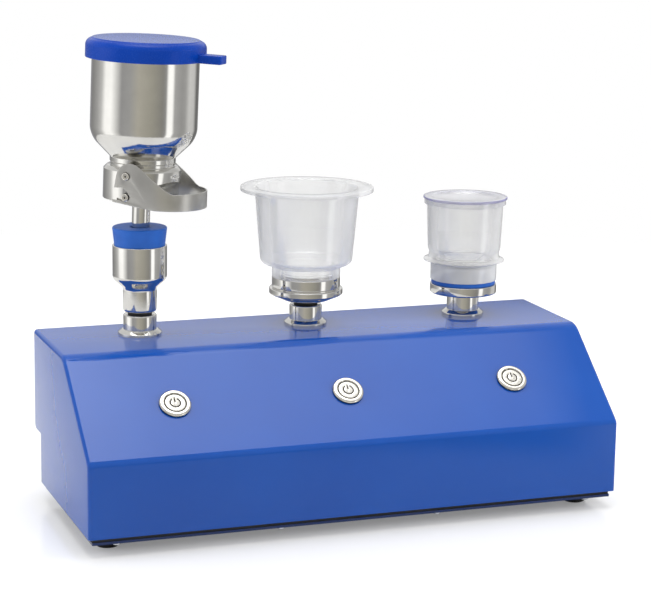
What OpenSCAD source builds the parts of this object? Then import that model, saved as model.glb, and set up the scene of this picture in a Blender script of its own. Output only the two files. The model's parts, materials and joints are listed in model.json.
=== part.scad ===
// Three-place vacuum filtration unit: a folded sheet-steel housing on rubber feet, with three
// posts that carry a steel funnel, a plastic funnel and a lidded cup, and a push-button for each.
// Frame: X along the housing, Y from front to back, Z up. The origin is on the bench, under the
// middle of the whole unit. Heights inside the modules are above the top face or the lower edge.

/* [Housing] */
// Length of the housing, end to end
housing_w = 420; // [410:1:460]
// Depth of the housing, front to back
housing_d = 177; // [172:1:200]
// Height of the housing above its lower edge
housing_h = 118; // [112:1:140]
// Height of the upright front face
front_h = 56; // [52:0.5:64]
// Depth taken up by the sloping face
slope_run = 77.2; // [70:1:84]
// Height of the recess along the back
recess_h = 37; // [34:1:45]
// Depth of the recess along the back
recess_in = 20; // [12:0.1:20]
// Thickness of the sheet steel
sheet_t = 1.5; // [1:0.1:2.5]
// Outside radius of the long folds
fold_r = 5; // [3:0.5:8]
// Radius of the edges around the two ends
end_r = 3; // [1:0.5:4]
// Width of the flange folded in around the open bottom
flange_w = 13; // [12:0.5:16]

/* [Base and feet] */
// Thickness of the base plate
plate_t = 2; // [1.5:0.5:3]
// Thickness of the foam strip between the housing and the base plate
strip_t = 3.2; // [2:0.2:5]
// Width of the foam strip
strip_w = 8; // [7:0.5:9]
// How far the base plate stands in from the housing's faces
plate_in = 3.5; // [2:0.5:4]
// Radius of the base screws
base_screw_r = 1.5; // [1.2:0.1:2]
// Diameter of a foot
foot_d = 18.6; // [15:0.2:24]
// Height of a foot
foot_h = 8.7; // [7:0.1:14]
// Distance from the end of the housing to a foot's middle
foot_in_x = 21; // [18:1:40]
// Distance from the front of the housing to a front foot's middle
foot_in_y = 29; // [26:1:36]
// Radius of the foot screws
foot_screw_r = 2; // [1.5:0.1:2.2]

/* [Stations] */
// Distance from one station to the next
pitch = 135.4; // [120:0.1:140]
// Distance from the posts to the back of the housing
station_back = 41.6; // [41:0.1:46]
// Radius of a post
post_r = 12.9; // [11:0.1:13]
// Height of a post above the housing
post_h = 16; // [14:0.5:24]
// Radius of the threaded shank below a post
shank_r = 9; // [8.5:0.1:9.5]
// Length of the threaded shank
shank_len = 14; // [12:0.5:20]
// Radius of the hose tails
tail_r = 3; // [2.6:0.1:3.2]
// Radius of the lower rim of a collar
collar_r = 16.9; // [15:0.1:20]
// Height of a collar
collar_h = 4.4; // [3.6:0.1:6]
// Thickness of the rubber seal on a post
seal_t = 2; // [1.5:0.1:3]
// Radius of the rubber seal on a post
seal_r = 9.6; // [9.2:0.1:11]
// Radius of the spigots that drop into the posts
spigot_r = 8; // [6:0.1:8]
// Length of those spigots
spigot_len = 10.5; // [8:0.5:11]
// Radius of the drain bores
drain_r = 4; // [3.6:0.1:5]

/* [Stopper holder] */
// Radius of the holder's lower tube
holder_tube_r = 13.1; // [12.8:0.1:15]
// Length of the holder's lower tube
holder_tube_h = 19; // [14:0.5:22]
// Outside radius of the holder's cup
cup_r = 20.9; // [20.8:0.1:22]
// Height of the cone between the tube and the cup
cup_cone_h = 7; // [5:0.5:10]
// Height of the cup's upright wall
cup_h = 26; // [22:0.5:32]
// Radius of the top of the stopper
stopper_r = 21.1; // [20.9:0.1:21.3]
// How much a stopper's radius shrinks for each millimetre down
stopper_taper = 0.115; // [0.1:0.005:0.13]
// Height of stopper standing out of the cup
stopper_out = 14; // [12:0.5:18]
// Height of stopper inside the cup
stopper_sunk = 20; // [16:0.5:21]

/* [Lever-lock funnel] */
// How far the funnel leans in its stopper, in degrees
lean = 1.9; // [0:0.1:2.5]
// Direction of the lean, in degrees from X
lean_dir = -20; // [-90:1:90]
// Radius of the funnel's stem
stem_r = 6.9; // [6:0.1:7.5]
// Height of the base disc's underside above the housing
disc_z = 109.6; // [106:0.1:120]
// Radius of the base disc
disc_r = 28.3; // [27.5:0.1:30]
// Height of the base disc
disc_h = 14.4; // [13:0.1:18]
// Radius of the support disc under the membrane
support_r = 22.5; // [21.5:0.1:22.6]
// Thickness of the support disc
support_t = 2.5; // [2:0.1:3]
// Diameter of the filter membranes
membrane_d = 47; // [46:0.5:47]
// Thickness of the filter membranes
membrane_t = 0.2; // [0.1:0.05:0.4]
// Thickness of the funnel's flat gasket
gasket_t = 1.5; // [1:0.1:2]
// Radius of the opening at the foot of the funnel
throat_r = 20.3; // [18:0.1:21]
// Radius of the funnel's neck
neck_r = 24.5; // [24.2:0.1:25]
// Height of the neck's free length above the locking ring
neck_gap = 2.5; // [2:0.1:5]
// Wall of the locking ring beside the base disc
ring_t = 1.2; // [1:0.1:2]
// Wall of the locking ring above the neck flange
ring_top_t = 3; // [2.5:0.1:4]
// Slope of the ring's lower edge on the handle side, rise over run
ring_rise = 0.45; // [0.3:0.002:0.48]
// Wall of the funnel
bowl_t = 1.2; // [0.8:0.1:1.6]
// Outside radius of the funnel's bowl
bowl_r = 40.7; // [40:0.1:44]
// Radius of the bend between the bowl's cone and its wall
bowl_bend = 18; // [12:0.5:20]
// Height of the bowl's upright wall
bowl_h = 60.5; // [45:0.5:80]
// Radius of the rolled rim
rim_bead = 1.6; // [1.3:0.1:2]

/* [Lever] */
// Direction of the lever's loop, in degrees from X
lever_dir = -38.6; // [-60:0.2:0]
// Thickness of the lever's strip
lever_t = 1.2; // [1:0.1:1.5]
// Clearance between the lever's cheeks and the ring
lever_gap = 0.5; // [0.4:0.1:0.8]
// Distance from the axis to the middle of the loop's bend
loop_x = 20; // [18:0.5:24]
// Height of the strip around the loop
loop_h = 12.8; // [10:0.1:13]
// Height from the lock pins up to the pivot pins
lock_drop = 15.9; // [15:0.1:16.5]
// Radius of the pivot pins
pivot_r = 2; // [1.6:0.1:2.2]
// Radius of the rollers on the lock pins
roller_r = 2.9; // [2.6:0.1:3]

/* [Silicone lid] */
// Outside radius of the funnel's lid
lid_r = 45.7; // [45.4:0.1:48]
// Height of the lid's skirt below the rim
lid_skirt = 9.2; // [8:0.1:14]
// Thickness of the lid's top
lid_t = 6; // [5:0.5:8]
// Reach of the pull tab from the lid's middle
tab_reach = 63; // [58:1:70]
// Width of the pull tab
tab_w = 14; // [12:0.5:20]
// Thickness of the pull tab
tab_t = 6.4; // [4:0.1:7]

/* [Plastic funnel] */
// Radius of the steel head's rim
head_r = 29.1; // [28.5:0.1:31]
// Radius of the head's upper step and of the funnel's neck
step_r = 27; // [26:0.1:27.5]
// Height of the head's upper step
step_h = 9; // [7:0.1:12]
// Radius of the funnel's wall at the bottom
funnel_low_r = 36.2; // [35.5:0.1:38]
// Radius of the funnel's wall at the top
funnel_top_r = 40.9; // [39.5:0.1:43]
// Height of the funnel from its seat to its rim
funnel_h = 71.5; // [60:0.5:90]
// Radius of the wide rim
wide_rim_r = 52.2; // [48:0.2:55]
// Wall of the plastic funnel
funnel_t = 1.4; // [1:0.1:1.8]

/* [Sample cup] */
// Radius of the steel seat
seat_r = 26.9; // [26.6:0.1:28]
// Height of the steel seat
seat_h = 7.5; // [6:0.5:12]
// Thickness of the coloured seal
blue_seal_t = 3.5; // [2:0.1:4]
// Height of the clear base's skirt
skirt_h = 14; // [11:0.5:16]
// Radius of the clear base's skirt
skirt_r = 26.7; // [26.4:0.1:27]
// Radius of the cup's handling rim
ear_r = 31.9; // [31:0.1:34]
// Radius of the cup's wall at the bottom
cup_low_r = 29.3; // [28.8:0.1:30]
// Radius of the cup's wall at the top
cup_top_r = 30.9; // [30.6:0.1:32]
// Height of the cup from its seat to its rim
sample_cup_h = 52; // [40:1:70]
// Wall of the sample cup
cup_t = 1.2; // [1:0.1:1.5]
// Outside radius of the cup's lid
cup_lid_r = 33.8; // [33.6:0.1:36]

/* [Buttons] */
// Distance up the slope from the front fold to the buttons
button_up = 47.8; // [42:0.1:54]
// Diameter of the bezel
bezel_d = 24; // [23.5:0.1:28]
// Radius of the threaded body behind the panel
body_r = 10.9; // [10:0.1:11]
// Length of the threaded body behind the panel
body_len = 18; // [15:0.5:20]
// Radius of the moving cap
cap_r = 7.7; // [7:0.1:8.4]
// Travel of the moving cap
travel = 2.5; // [1:0.1:3]
// Length of the contact block behind the body
block_len = 13; // [10:0.5:15]
// Radius of the symbol cut into the cap
symbol_r = 4.3; // [3:0.1:6]
// Width of the symbol's lines
symbol_line = 1; // [0.6:0.1:1.2]

/* [Inside] */
// Size of a pump head along X
pump_w = 34; // [28:1:40]
// Depth of a pump head
pump_d = 30; // [24:1:34]
// Height of a pump head
pump_h = 34; // [30:1:40]
// Radius of a pump motor
motor_r = 13.5; // [11:0.1:15]
// Length of a pump motor
motor_len = 40; // [35:1:46]
// Radius of the hoses
hose_r = 4.8; // [4.4:0.1:5.2]
// Radius of the drain pipe
pipe_r = 4.5; // [4.2:0.1:4.8]
// Outside radius of the drain outlet's hose tail
outlet_r = 4; // [3.6:0.1:4.2]
// Length of the drain outlet's hose tail
outlet_len = 18; // [14:0.5:20]
// Length of the control board
board_w = 140; // [120:1:180]
// Depth of the control board
board_d = 36; // [30:1:38]
// Distance from one plug on the board to the next
plug_pitch = 18; // [12:0.5:19]
// Radius of the wires
wire_r = 1.4; // [1:0.1:1.6]

/* [Hidden] */

$fn = 96;
fit = 0.05;           // clearance of pieces that sit in each other
lid_clear = 0.3;      // clearance of pieces that drop over each other
hair = 0.01;          // gap that keeps slanting faces from crossing by rounding
past = 1;             // how far a cut runs past the face that it opens
chamfer = 0.6;        // small turned edge
bevel = 1.2;          // larger turned edge
arc_steps = 6;        // straight steps in a rounded corner of an outline
wire_sides = 12;

blue_paint = [0.10, 0.25, 0.72];
steel = [0.78, 0.77, 0.74];
black_rubber = [0.05, 0.05, 0.06];
blue_rubber = [0.05, 0.30, 0.72];
silicone_blue = [0.07, 0.20, 0.70];
frosted = [0.92, 0.93, 0.94, 0.6];
clear = [0.93, 0.93, 0.96, 0.4];
zinc = [0.70, 0.71, 0.72];

// Overall places
base_d = housing_d - recess_in;
housing_z = foot_h + plate_t + strip_t;
top_z = housing_z + housing_h;
outlet_flange = 4;
station_in = housing_d - station_back;
rear_reach = max(housing_d, station_in + wide_rim_r, base_d + outlet_flange + outlet_len);
front_y = -rear_reach / 2;
floor_z = -strip_t;
slope_rise = housing_h - front_h;
slope_angle = atan2(slope_rise, slope_run);
edge_r = min(end_r, 2.2 * sheet_t);
overhang_r = 6;
seat_z = post_h + seal_t;
hex_t = 5;

// Plane geometry: corners moved in and rounded
function way(a, b) = (b - a) / norm(b - a);
function left_of(v) = [-v[1], v[0]];
function moved_in(a, p, b, d) =
    let (m = left_of(way(a, p)), n = left_of(way(p, b))) p + d * (m + n) / (1 + m * n);
function arc(c, r, from, to, steps = arc_steps) =
    [for (i = [0:steps]) let (a = from + (to - from) * i / steps) c + r * [cos(a), sin(a)]];
function rounded(a, p, b, r) = r <= 0.01 ? [p] :
    let (m = left_of(way(a, p)), n = left_of(way(p, b)), from = atan2(-m[1], -m[0]))
    arc(moved_in(a, p, b, r), r, from, from + acos(m * n));
function outline(points, radii, d = 0) =
    let (n = len(points),
         q = [for (i = [0:n - 1]) moved_in(points[(i + n - 1) % n], points[i], points[(i + 1) % n], d)])
    [for (i = [0:n - 1]) each rounded(q[(i + n - 1) % n], q[i], q[(i + 1) % n], radii[i] - d)];

module turned(points) rotate_extrude() polygon(points);
module along_x(length) rotate([90, 0, 90]) linear_extrude(length, center = true) children();
module along_y(length) rotate([90, 0, 0]) linear_extrude(length, center = true) children();
module back_cylinder(r, h) rotate([-90, 0, 0]) cylinder(r = r, h = h);
module hexagon(r, h) cylinder(r = r, h = h, $fn = 6);
module wire(points) for (i = [1:len(points) - 1]) {
    a = points[i - 1];
    v = points[i] - a;
    past_bend = i < len(points) - 1 ? wire_r / 2 : 0;
    translate(a) rotate([0, acos(v[2] / norm(v)), atan2(v[1], v[0])])
        cylinder(r = wire_r, h = norm(v) + past_bend, $fn = wire_sides);
}

// Frames: the housing's lower front edge, a station on the top face, a button on the slope
module in_housing() translate([0, front_y, housing_z]) children();
function station_x(i) = (i - 2) * pitch;
module at_station(i) translate([station_x(i), front_y + station_in, top_z]) children();
module at_button(i) in_housing() translate([station_x(i), 0, front_h])
    rotate([slope_angle, 0, 0]) translate([0, button_up, 0]) children();

// ---- Housing ----
outer_corners = [[0, 0], [housing_d, 0], [housing_d, housing_h], [slope_run, housing_h], [0, front_h]];
shell_corners = [[0, 0], [base_d, 0], [base_d, recess_h], [housing_d, recess_h],
                 [housing_d, housing_h], [slope_run, housing_h], [0, front_h]];
shell_radii = [0, 0, 0, overhang_r, fold_r, fold_r, fold_r];
end_steps = 4;
slice_t = 0.01;
panel_clear = 0.15;
body_hole_r = body_r + panel_clear;
shank_hole_r = shank_r + panel_clear;
inlet_x = 70;
inlet_z = recess_h - 11;
inlet_r = 5.5;
outlet_x = -70;
outlet_z = 12;
base_screw_in = plate_in + strip_w / 2;
base_screw_places = [for (x = [-3, -1, 1, 3], y = [base_screw_in, base_d - base_screw_in])
                     [x * (housing_w / 2 - 3 * base_screw_in) / 3, y]];

module housing_block() {
    hull() for (side = [-1, 1], i = [0:end_steps]) {
        a = 90 * i / end_steps;
        translate([side * (housing_w / 2 - slice_t / 2 - edge_r * (1 - sin(a))), 0, 0]) along_x(slice_t)
            polygon(outline(outer_corners, [0, 0, fold_r, fold_r, fold_r], edge_r * (1 - cos(a))));
    }
}
module recess_cut() {
    along_x(housing_w + 2 * past) {
        translate([base_d, -past]) square([recess_in + past, recess_h + past]);
        difference() {
            translate([housing_d - overhang_r, recess_h - past]) square(overhang_r + past);
            translate([housing_d - overhang_r, recess_h + overhang_r]) circle(r = overhang_r);
        }
    }
}
module housing() color(blue_paint) difference() {
    in_housing() difference() {
        housing_block();
        recess_cut();
        along_x(housing_w - 2 * sheet_t) polygon(outline(shell_corners, shell_radii, sheet_t));
        translate([-housing_w / 2 + flange_w, flange_w, -past])
            cube([housing_w - 2 * flange_w, base_d - 2 * flange_w, sheet_t + 2 * past]);
        for (p = base_screw_places)
            translate([p[0], p[1], -past]) cylinder(r = base_screw_r + fit, h = sheet_t + 2 * past);
        translate([inlet_x, base_d - sheet_t - past, inlet_z])
            back_cylinder(inlet_r + fit, sheet_t + 2 * past);
        translate([outlet_x, base_d - sheet_t - past, outlet_z])
            back_cylinder(outlet_r + fit, sheet_t + 2 * past);
    }
    for (i = [1:3]) {
        at_station(i) translate([0, 0, -sheet_t - past]) cylinder(r = shank_hole_r, h = sheet_t + 2 * past);
        at_button(i) translate([0, 0, -sheet_t - past]) cylinder(r = body_hole_r, h = sheet_t + 2 * past);
    }
}

// ---- Base ----
foot_places = [for (x = [-1, 1], y = [foot_in_y, base_d - foot_in_y]) [x * (housing_w / 2 - foot_in_x), y]];
port_wall = 1;
pump_back = station_in + tail_r + port_wall;
pump_screw_r = 1.5;
pump_screw_len = 8;
pump_places = [for (i = [1:3], x = [-1, 1]) [station_x(i) + x * pump_w / 4, pump_back - pump_d / 2]];
plate_z = floor_z - plate_t;
screw_head_h = 1.8;

module plate_holes(places, r) for (p = places)
    translate([p[0], p[1], plate_z - past]) cylinder(r = r + fit, h = plate_t + 2 * past);
module base_plate() color(blue_paint) in_housing() difference() {
    translate([0, base_d / 2, plate_z + plate_t / 2])
        cube([housing_w - 2 * plate_in, base_d - 2 * plate_in, plate_t], center = true);
    plate_holes(base_screw_places, base_screw_r);
    plate_holes(foot_places, foot_screw_r);
    plate_holes(pump_places, pump_screw_r);
}
module base_strip() color(black_rubber) in_housing() difference() {
    strip_in = plate_in + chamfer;
    translate([0, base_d / 2, floor_z / 2])
        cube([housing_w - 2 * strip_in, base_d - 2 * strip_in, strip_t], center = true);
    translate([0, base_d / 2, floor_z / 2])
        cube([housing_w - 2 * plate_in - 2 * strip_w, base_d - 2 * plate_in - 2 * strip_w, strip_t + 2 * past],
             center = true);
    for (p = base_screw_places)
        translate([p[0], p[1], floor_z - past]) cylinder(r = base_screw_r + fit, h = strip_t + 2 * past);
}
module base_screw(p, r, length) translate([p[0], p[1], plate_z]) {
    cylinder(r = r, h = length);
    translate([0, 0, -screw_head_h])
        turned([[0, 0], [1.5 * r, 0], [2 * r, chamfer], [2 * r, screw_head_h], [0, screw_head_h]]);
}
// The base screws also hold the pumps, from below
module base_screws() color(zinc) in_housing() {
    for (p = base_screw_places) base_screw(p, base_screw_r, plate_t + strip_t + sheet_t + 2);
    for (p = pump_places) base_screw(p, pump_screw_r, plate_t + pump_screw_len);
}
foot_well_z = 4;
foot_head_t = 2.4;
foot_head_r = foot_screw_r + 1.8;
foot_nut_t = 2;
module foot(i) {
    p = foot_places[i - 1];
    r = foot_d / 2;
    well_r = foot_head_r + 2 * chamfer;
    color(black_rubber) translate([p[0], front_y + p[1], 0])
        turned([[well_r, 0], [r - 1.5, 0], [r - chamfer, 0.8], [r, foot_h], [foot_screw_r + fit, foot_h],
                [foot_screw_r + fit, foot_well_z], [well_r, foot_well_z]]);
}
module foot_screws() color(zinc) for (p = foot_places) translate([p[0], front_y + p[1], 0]) {
    translate([0, 0, foot_well_z]) cylinder(r = foot_screw_r, h = foot_h + plate_t + foot_nut_t - foot_well_z);
    translate([0, 0, foot_well_z - foot_head_t]) cylinder(r = foot_head_r, h = foot_head_t);
    translate([0, 0, foot_h + plate_t]) difference() {
        hexagon(foot_screw_r * 2, foot_nut_t);
        translate([0, 0, -past]) cylinder(r = foot_screw_r - 0.5, h = foot_nut_t + 2 * past);
    }
}

// ---- Posts ----
socket_depth = spigot_len - seal_t + 1;
socket_cone = 3;
tail_len = 14;
collar_edge = 1.2;
module post(i) color(steel) at_station(i) turned([
    [drain_r / 2, -shank_len - tail_len], [tail_r, -shank_len - tail_len], [tail_r, -shank_len],
    [shank_r, -shank_len], [shank_r, 0], [post_r, 0], [post_r, post_h - bevel], [post_r - bevel, post_h],
    [spigot_r + fit, post_h], [spigot_r + fit, post_h - socket_depth],
    [drain_r / 2, post_h - socket_depth - socket_cone]]);
module collar(i) color(steel) at_station(i) turned([
    [post_r + fit, 0], [collar_r - chamfer / 2, 0], [collar_r, chamfer / 2], [collar_r, collar_edge],
    [post_r + chamfer, collar_h], [post_r + fit, collar_h]]);
module post_nuts() color(zinc) for (i = [1:3]) at_station(i)
    translate([0, 0, -sheet_t - hex_t]) difference() {
        hexagon(shank_r * 1.5, hex_t);
        translate([0, 0, -past]) cylinder(r = shank_r + fit, h = hex_t + 2 * past);
    }
module post_seals() color(black_rubber) for (i = [1:3]) at_station(i)
    turned([[spigot_r + fit, post_h], [seal_r - chamfer, post_h], [seal_r, post_h + seal_t / 2],
            [seal_r - chamfer, seat_z], [spigot_r + fit, seat_z]]);

// ---- Station 1: holder and stopper ----
cone_z = seat_z + holder_tube_h;
cup_z = cone_z + cup_cone_h;
cup_top = cup_z + cup_h;
stopper_top = cup_top + stopper_out;
stopper_foot = cup_top - stopper_sunk;
function stopper_at(z) = stopper_r - stopper_taper * (stopper_top - z);

module holder_cup() color(steel) at_station(1) turned([
    [drain_r, seat_z - spigot_len], [spigot_r, seat_z - spigot_len], [spigot_r, seat_z],
    [holder_tube_r - bevel, seat_z], [holder_tube_r, seat_z + bevel], [holder_tube_r, cone_z],
    [cup_r - bevel, cup_z - bevel], [cup_r, cup_z + chamfer], [cup_r, cup_top - chamfer / 2],
    [cup_r - chamfer / 2, cup_top],
    [stopper_at(cup_top) + fit, cup_top], [stopper_at(cup_z) + fit, cup_z], [drain_r, cone_z]]);
module stopper() color(blue_rubber) difference() {
    at_station(1) turned([
        [0, stopper_foot], [stopper_at(stopper_foot), stopper_foot],
        [stopper_at(stopper_top - chamfer), stopper_top - chamfer], [stopper_r - chamfer, stopper_top],
        [0, stopper_top]]);
    leaned() translate([0, 0, cone_z]) cylinder(r = stem_r + fit, h = stopper_top);
}

// ---- Station 1: filter base and funnel, which lean together in the stopper ----
lean_z = cup_top - stopper_sunk / 2;
stem_foot = stopper_foot - 3;
stem_flare = 8;
seat_w = 1.5;
funnel_dish = 4;
disc_top = disc_z + disc_h;
gasket_z = disc_top + membrane_t;
neck_z = gasket_z + gasket_t;
neck_flange_t = 3;
neck_flange_r = neck_r + 2;
ring_drop = 3.4;
ring_in = disc_r + 2 * fit;
ring_r = ring_in + ring_t;
ring_z = disc_z - ring_drop;
ring_chamfer = 2.5;
ring_shelf = neck_z + neck_flange_t + fit;
ring_top = ring_shelf + ring_top_t;
collar_z = ring_top + neck_gap;
collar_top = collar_z + 4.5;
cone_r = neck_r + 1.1;
bowl_x = bowl_r - bowl_bend;
bend_side = bowl_bend * cos(45);
bowl_z = collar_top + bowl_x + bend_side - cone_r + bend_side;
rim_z = bowl_z + bowl_h;
bead_x = bowl_r + 0.5;
throat_z = bowl_z - bend_side - (bowl_x + bend_side - throat_r) + 2 * bowl_t * cos(45);
lock_z = disc_z + 1;
pivot_z = lock_z + lock_drop;
cheek_in = ring_r + lever_gap;
cheek_out = cheek_in + lever_t;
lock_shank_r = roller_r / 2;
lock_pin_in = disc_r - 9;
ring_slot = lock_shank_r + lid_clear;
pin_head_z = cheek_out + 1.4;
pin_dimple_r = 0.7;

module leaned() at_station(1) translate([0, 0, lean_z]) rotate([0, 0, lean_dir]) rotate([0, lean, 0])
    rotate([0, 0, -lean_dir]) translate([0, 0, -lean_z]) children();
module to_lever() leaned() rotate([0, 0, lever_dir]) children();
module both_cheeks() for (side = [0, 180]) rotate([0, 0, side]) children();

module filter_base() color(steel) difference() {
    leaned() turned([
        [drain_r, stem_foot], [stem_r, stem_foot], [stem_r, disc_z - stem_flare],
        [stem_r + 1.5, disc_z - stem_flare * 0.6], [stem_r + stem_flare, disc_z],
        [disc_r - bevel, disc_z], [disc_r, disc_z + bevel], [disc_r, disc_top],
        [support_r + fit, disc_top], [support_r + fit, disc_top - support_t],
        [support_r - seat_w, disc_top - support_t], [drain_r, disc_top - support_t - funnel_dish]]);
    to_lever() both_cheeks() translate([0, -lock_pin_in, lock_z])
        rotate([90, 0, 0]) cylinder(r = lock_shank_r + fit, h = disc_r);
}
module support_disc_1() color(steel) leaned()
    translate([0, 0, disc_top - support_t]) cylinder(r = support_r, h = support_t);
module membrane_1() color("white") leaned()
    translate([0, 0, disc_top]) cylinder(r = membrane_d / 2, h = membrane_t);
module funnel_gasket() color([0.85, 0.86, 0.88]) leaned() turned([
    [throat_r, gasket_z], [neck_flange_r - 0.5, gasket_z], [neck_flange_r - 0.5, neck_z], [throat_r, neck_z]]);
module locking_ring() color(steel) difference() {
    leaned() turned([
        [ring_in, ring_z], [ring_r - chamfer, ring_z], [ring_r, ring_z + chamfer],
        [ring_r, ring_top - ring_chamfer], [ring_r - ring_chamfer, ring_top], [neck_r + fit, ring_top],
        [neck_r + fit, ring_shelf], [neck_flange_r + fit, ring_shelf], [neck_flange_r + fit, neck_z - chamfer],
        [ring_in, neck_z - 2 * chamfer]]);
    to_lever() {
        along_y(4 * ring_r) polygon([[0, ring_z], [2 * ring_r, ring_z + 2 * ring_r * ring_rise],
                                     [2 * ring_r, ring_z - past], [0, ring_z - past]]);
        translate([0, 0, lock_z]) rotate([90, 0, 0]) cylinder(r = ring_slot, h = 4 * ring_r, center = true);
        translate([0, 0, lock_z - ring_r / 2]) cube([2 * ring_slot, 4 * ring_r, ring_r], center = true);
        translate([0, 0, pivot_z]) rotate([90, 0, 0])
            cylinder(r = pivot_r + fit, h = 4 * ring_r, center = true);
    }
}
module pivot_pins() color(steel) to_lever() both_cheeks() translate([0, 0, pivot_z]) rotate([90, 0, 0])
    turned([[0, neck_flange_r + lid_clear], [pivot_r, neck_flange_r + lid_clear], [pivot_r, cheek_out + fit],
            [pivot_r + 1, cheek_out + fit], [pivot_r + 1, pin_head_z - chamfer],
            [pivot_r + chamfer, pin_head_z], [pin_dimple_r, pin_head_z], [0, pin_head_z - chamfer]]);
module lock_pins() color(steel) to_lever() both_cheeks() translate([0, 0, lock_z]) rotate([90, 0, 0])
    turned([[0, lock_pin_in], [lock_shank_r, lock_pin_in], [lock_shank_r, ring_r + 4 * fit],
            [roller_r, ring_r + 4 * fit], [roller_r, pin_head_z - chamfer], [roller_r - chamfer, pin_head_z],
            [pin_dimple_r, pin_head_z], [0, pin_head_z - chamfer]]);

// The lever is one bent strip: its plan is a U, and its side view gives the cheeks their outline
notch_r = roller_r + lid_clear;
strip_z = lock_z - 8.1;
strip_top = strip_z + loop_h;
cheek_arc = [3.3, pivot_z - 1.2];
cheek_r = 11.2;
cheek_back = -10.6;
diagonal = 50;
diagonal_foot = loop_x + 16.5;
hook_z = lock_z + 6.8;
lip_z = lock_z - 2.4;
curve_steps = 14;
module lever_side() difference() {
    polygon(concat(
        [[cheek_back + 0.4, strip_z + 3.9], [loop_x - 4, strip_z + 0.8], [loop_x + 4, strip_z],
         [4 * loop_x, strip_z], [4 * loop_x, strip_top], [diagonal_foot, strip_top],
         [diagonal_foot - 3.5, strip_top + 1.4]],
        arc(cheek_arc, cheek_r, diagonal, 170, curve_steps),
        [[cheek_back + 1.3, hook_z], [cheek_back, hook_z - 1.8], [cheek_back, strip_z + 4.4]]));
    polygon(concat(
        [[cheek_back - past, hook_z], [cheek_back + 1.3, hook_z], [-3, hook_z + 0.4], [1.6, hook_z - 2]],
        arc([0, lock_z], notch_r, 45, -90, curve_steps),
        [[-8, lip_z], [cheek_back - past, lip_z + 0.3]]));
}
module loop_plan(r) {
    translate([loop_x, 0]) circle(r = r);
    translate([-loop_x, -r]) square([2 * loop_x, 2 * r]);
}
module lever() color(steel) to_lever() difference() {
    intersection() {
        difference() {
            linear_extrude(2 * rim_z) loop_plan(cheek_out);
            translate([0, 0, -past]) linear_extrude(2 * rim_z + 2 * past) loop_plan(cheek_in);
            translate([-loop_x, 0, 0]) cube([2 * past, 4 * cheek_in, 4 * rim_z + 4 * past], center = true);
        }
        along_y(4 * cheek_out) lever_side();
    }
    translate([0, 0, pivot_z]) rotate([90, 0, 0]) cylinder(r = pivot_r + fit, h = 4 * cheek_out, center = true);
}

module steel_funnel() color(steel) leaned() turned(concat(
    [[throat_r, neck_z], [neck_flange_r, neck_z], [neck_flange_r, neck_z + neck_flange_t],
     [neck_r, neck_z + neck_flange_t], [neck_r, collar_z], [neck_r + chamfer, collar_z + chamfer],
     [neck_r + chamfer, collar_top - chamfer], [cone_r, collar_top]],
    arc([bowl_x, bowl_z], bowl_bend, -45, 0),
    [[bowl_r, rim_z - 2 * rim_bead]],
    arc([bead_x, rim_z - rim_bead], rim_bead, -80, 110, 10),
    [[bowl_r - bowl_t, rim_z - chamfer]],
    arc([bowl_x, bowl_z], bowl_bend - bowl_t, 0, -45),
    [[throat_r, throat_z]]));
lid_in = bead_x + rim_bead + lid_clear;
lid_top = rim_z + lid_t;
lid_foot = rim_z - lid_skirt;
lid_bend = 5.5;
lid_edge = 0.9;
tab_round = 2;
module funnel_lid() color(silicone_blue) leaned() {
    turned(concat(
        [[lid_in, lid_foot], [lid_r - chamfer, lid_foot], [lid_r, lid_foot + chamfer]],
        arc([lid_r - lid_bend, lid_top - lid_edge - lid_bend], lid_bend, 0, 80),
        [[lid_r - lid_bend, lid_top], [0, lid_top], [0, rim_z + fit], [lid_in - chamfer, rim_z + fit],
         [lid_in, rim_z - chamfer]]));
    rotate([0, 0, lever_dir]) translate([0, 0, lid_foot]) difference() {
        linear_extrude(tab_t) {
            translate([lid_in, -tab_w / 2]) square([tab_reach - tab_round - lid_in, tab_w]);
            translate([lid_in, tab_round - tab_w / 2]) square([tab_reach - lid_in, tab_w - 2 * tab_round]);
            for (side = [-1, 1])
                translate([tab_reach - tab_round, side * (tab_w / 2 - tab_round)]) circle(r = tab_round);
        }
        translate([0, 0, -past]) cylinder(r = lid_r - bevel, h = tab_t + 2 * past);
    }
}

// ---- Station 2: steel head and plastic funnel ----
rim_foot = seat_z + 6.5;
step_z = rim_foot + 4.9;
step_top = step_z + step_h;
boss_r = membrane_d / 2;
boss_top = step_top + 2;
neck_in = boss_r + 2 * fit;
head_disc_r = boss_r - 2.3;
head_disc_t = 2.4;
head_dish = 5;
funnel_z = step_top + fit;
funnel_seat = boss_top + membrane_t + fit;
funnel_neck_h = 8.2;
shoulder_z = funnel_z + funnel_neck_h;
funnel_top = funnel_z + funnel_h;
shoulder_r = 4.4;
wall_z = shoulder_z + bevel + shoulder_r + chamfer;
rim_lip = 3.2;

module head_2() color(steel) at_station(2) turned([
    [drain_r, seat_z - spigot_len], [spigot_r, seat_z - spigot_len], [spigot_r, seat_z], [seal_r, seat_z],
    [seal_r + 7, seat_z + 2], [head_r - chamfer, rim_foot], [head_r, rim_foot + chamfer],
    [head_r, step_z - bevel], [head_r - chamfer, step_z], [step_r - chamfer, step_z],
    [step_r - chamfer, step_z + chamfer], [step_r, step_z + bevel], [step_r, step_top],
    [boss_r, step_top], [boss_r, boss_top], [head_disc_r + fit, boss_top],
    [head_disc_r + fit, boss_top - head_disc_t], [head_disc_r - seat_w, boss_top - head_disc_t],
    [drain_r, boss_top - head_disc_t - head_dish]]);
module support_disc_2() color(steel) at_station(2)
    translate([0, 0, boss_top - head_disc_t]) cylinder(r = head_disc_r, h = head_disc_t);
module membrane_2() color("white") at_station(2)
    translate([0, 0, boss_top]) cylinder(r = membrane_d / 2, h = membrane_t);
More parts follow.
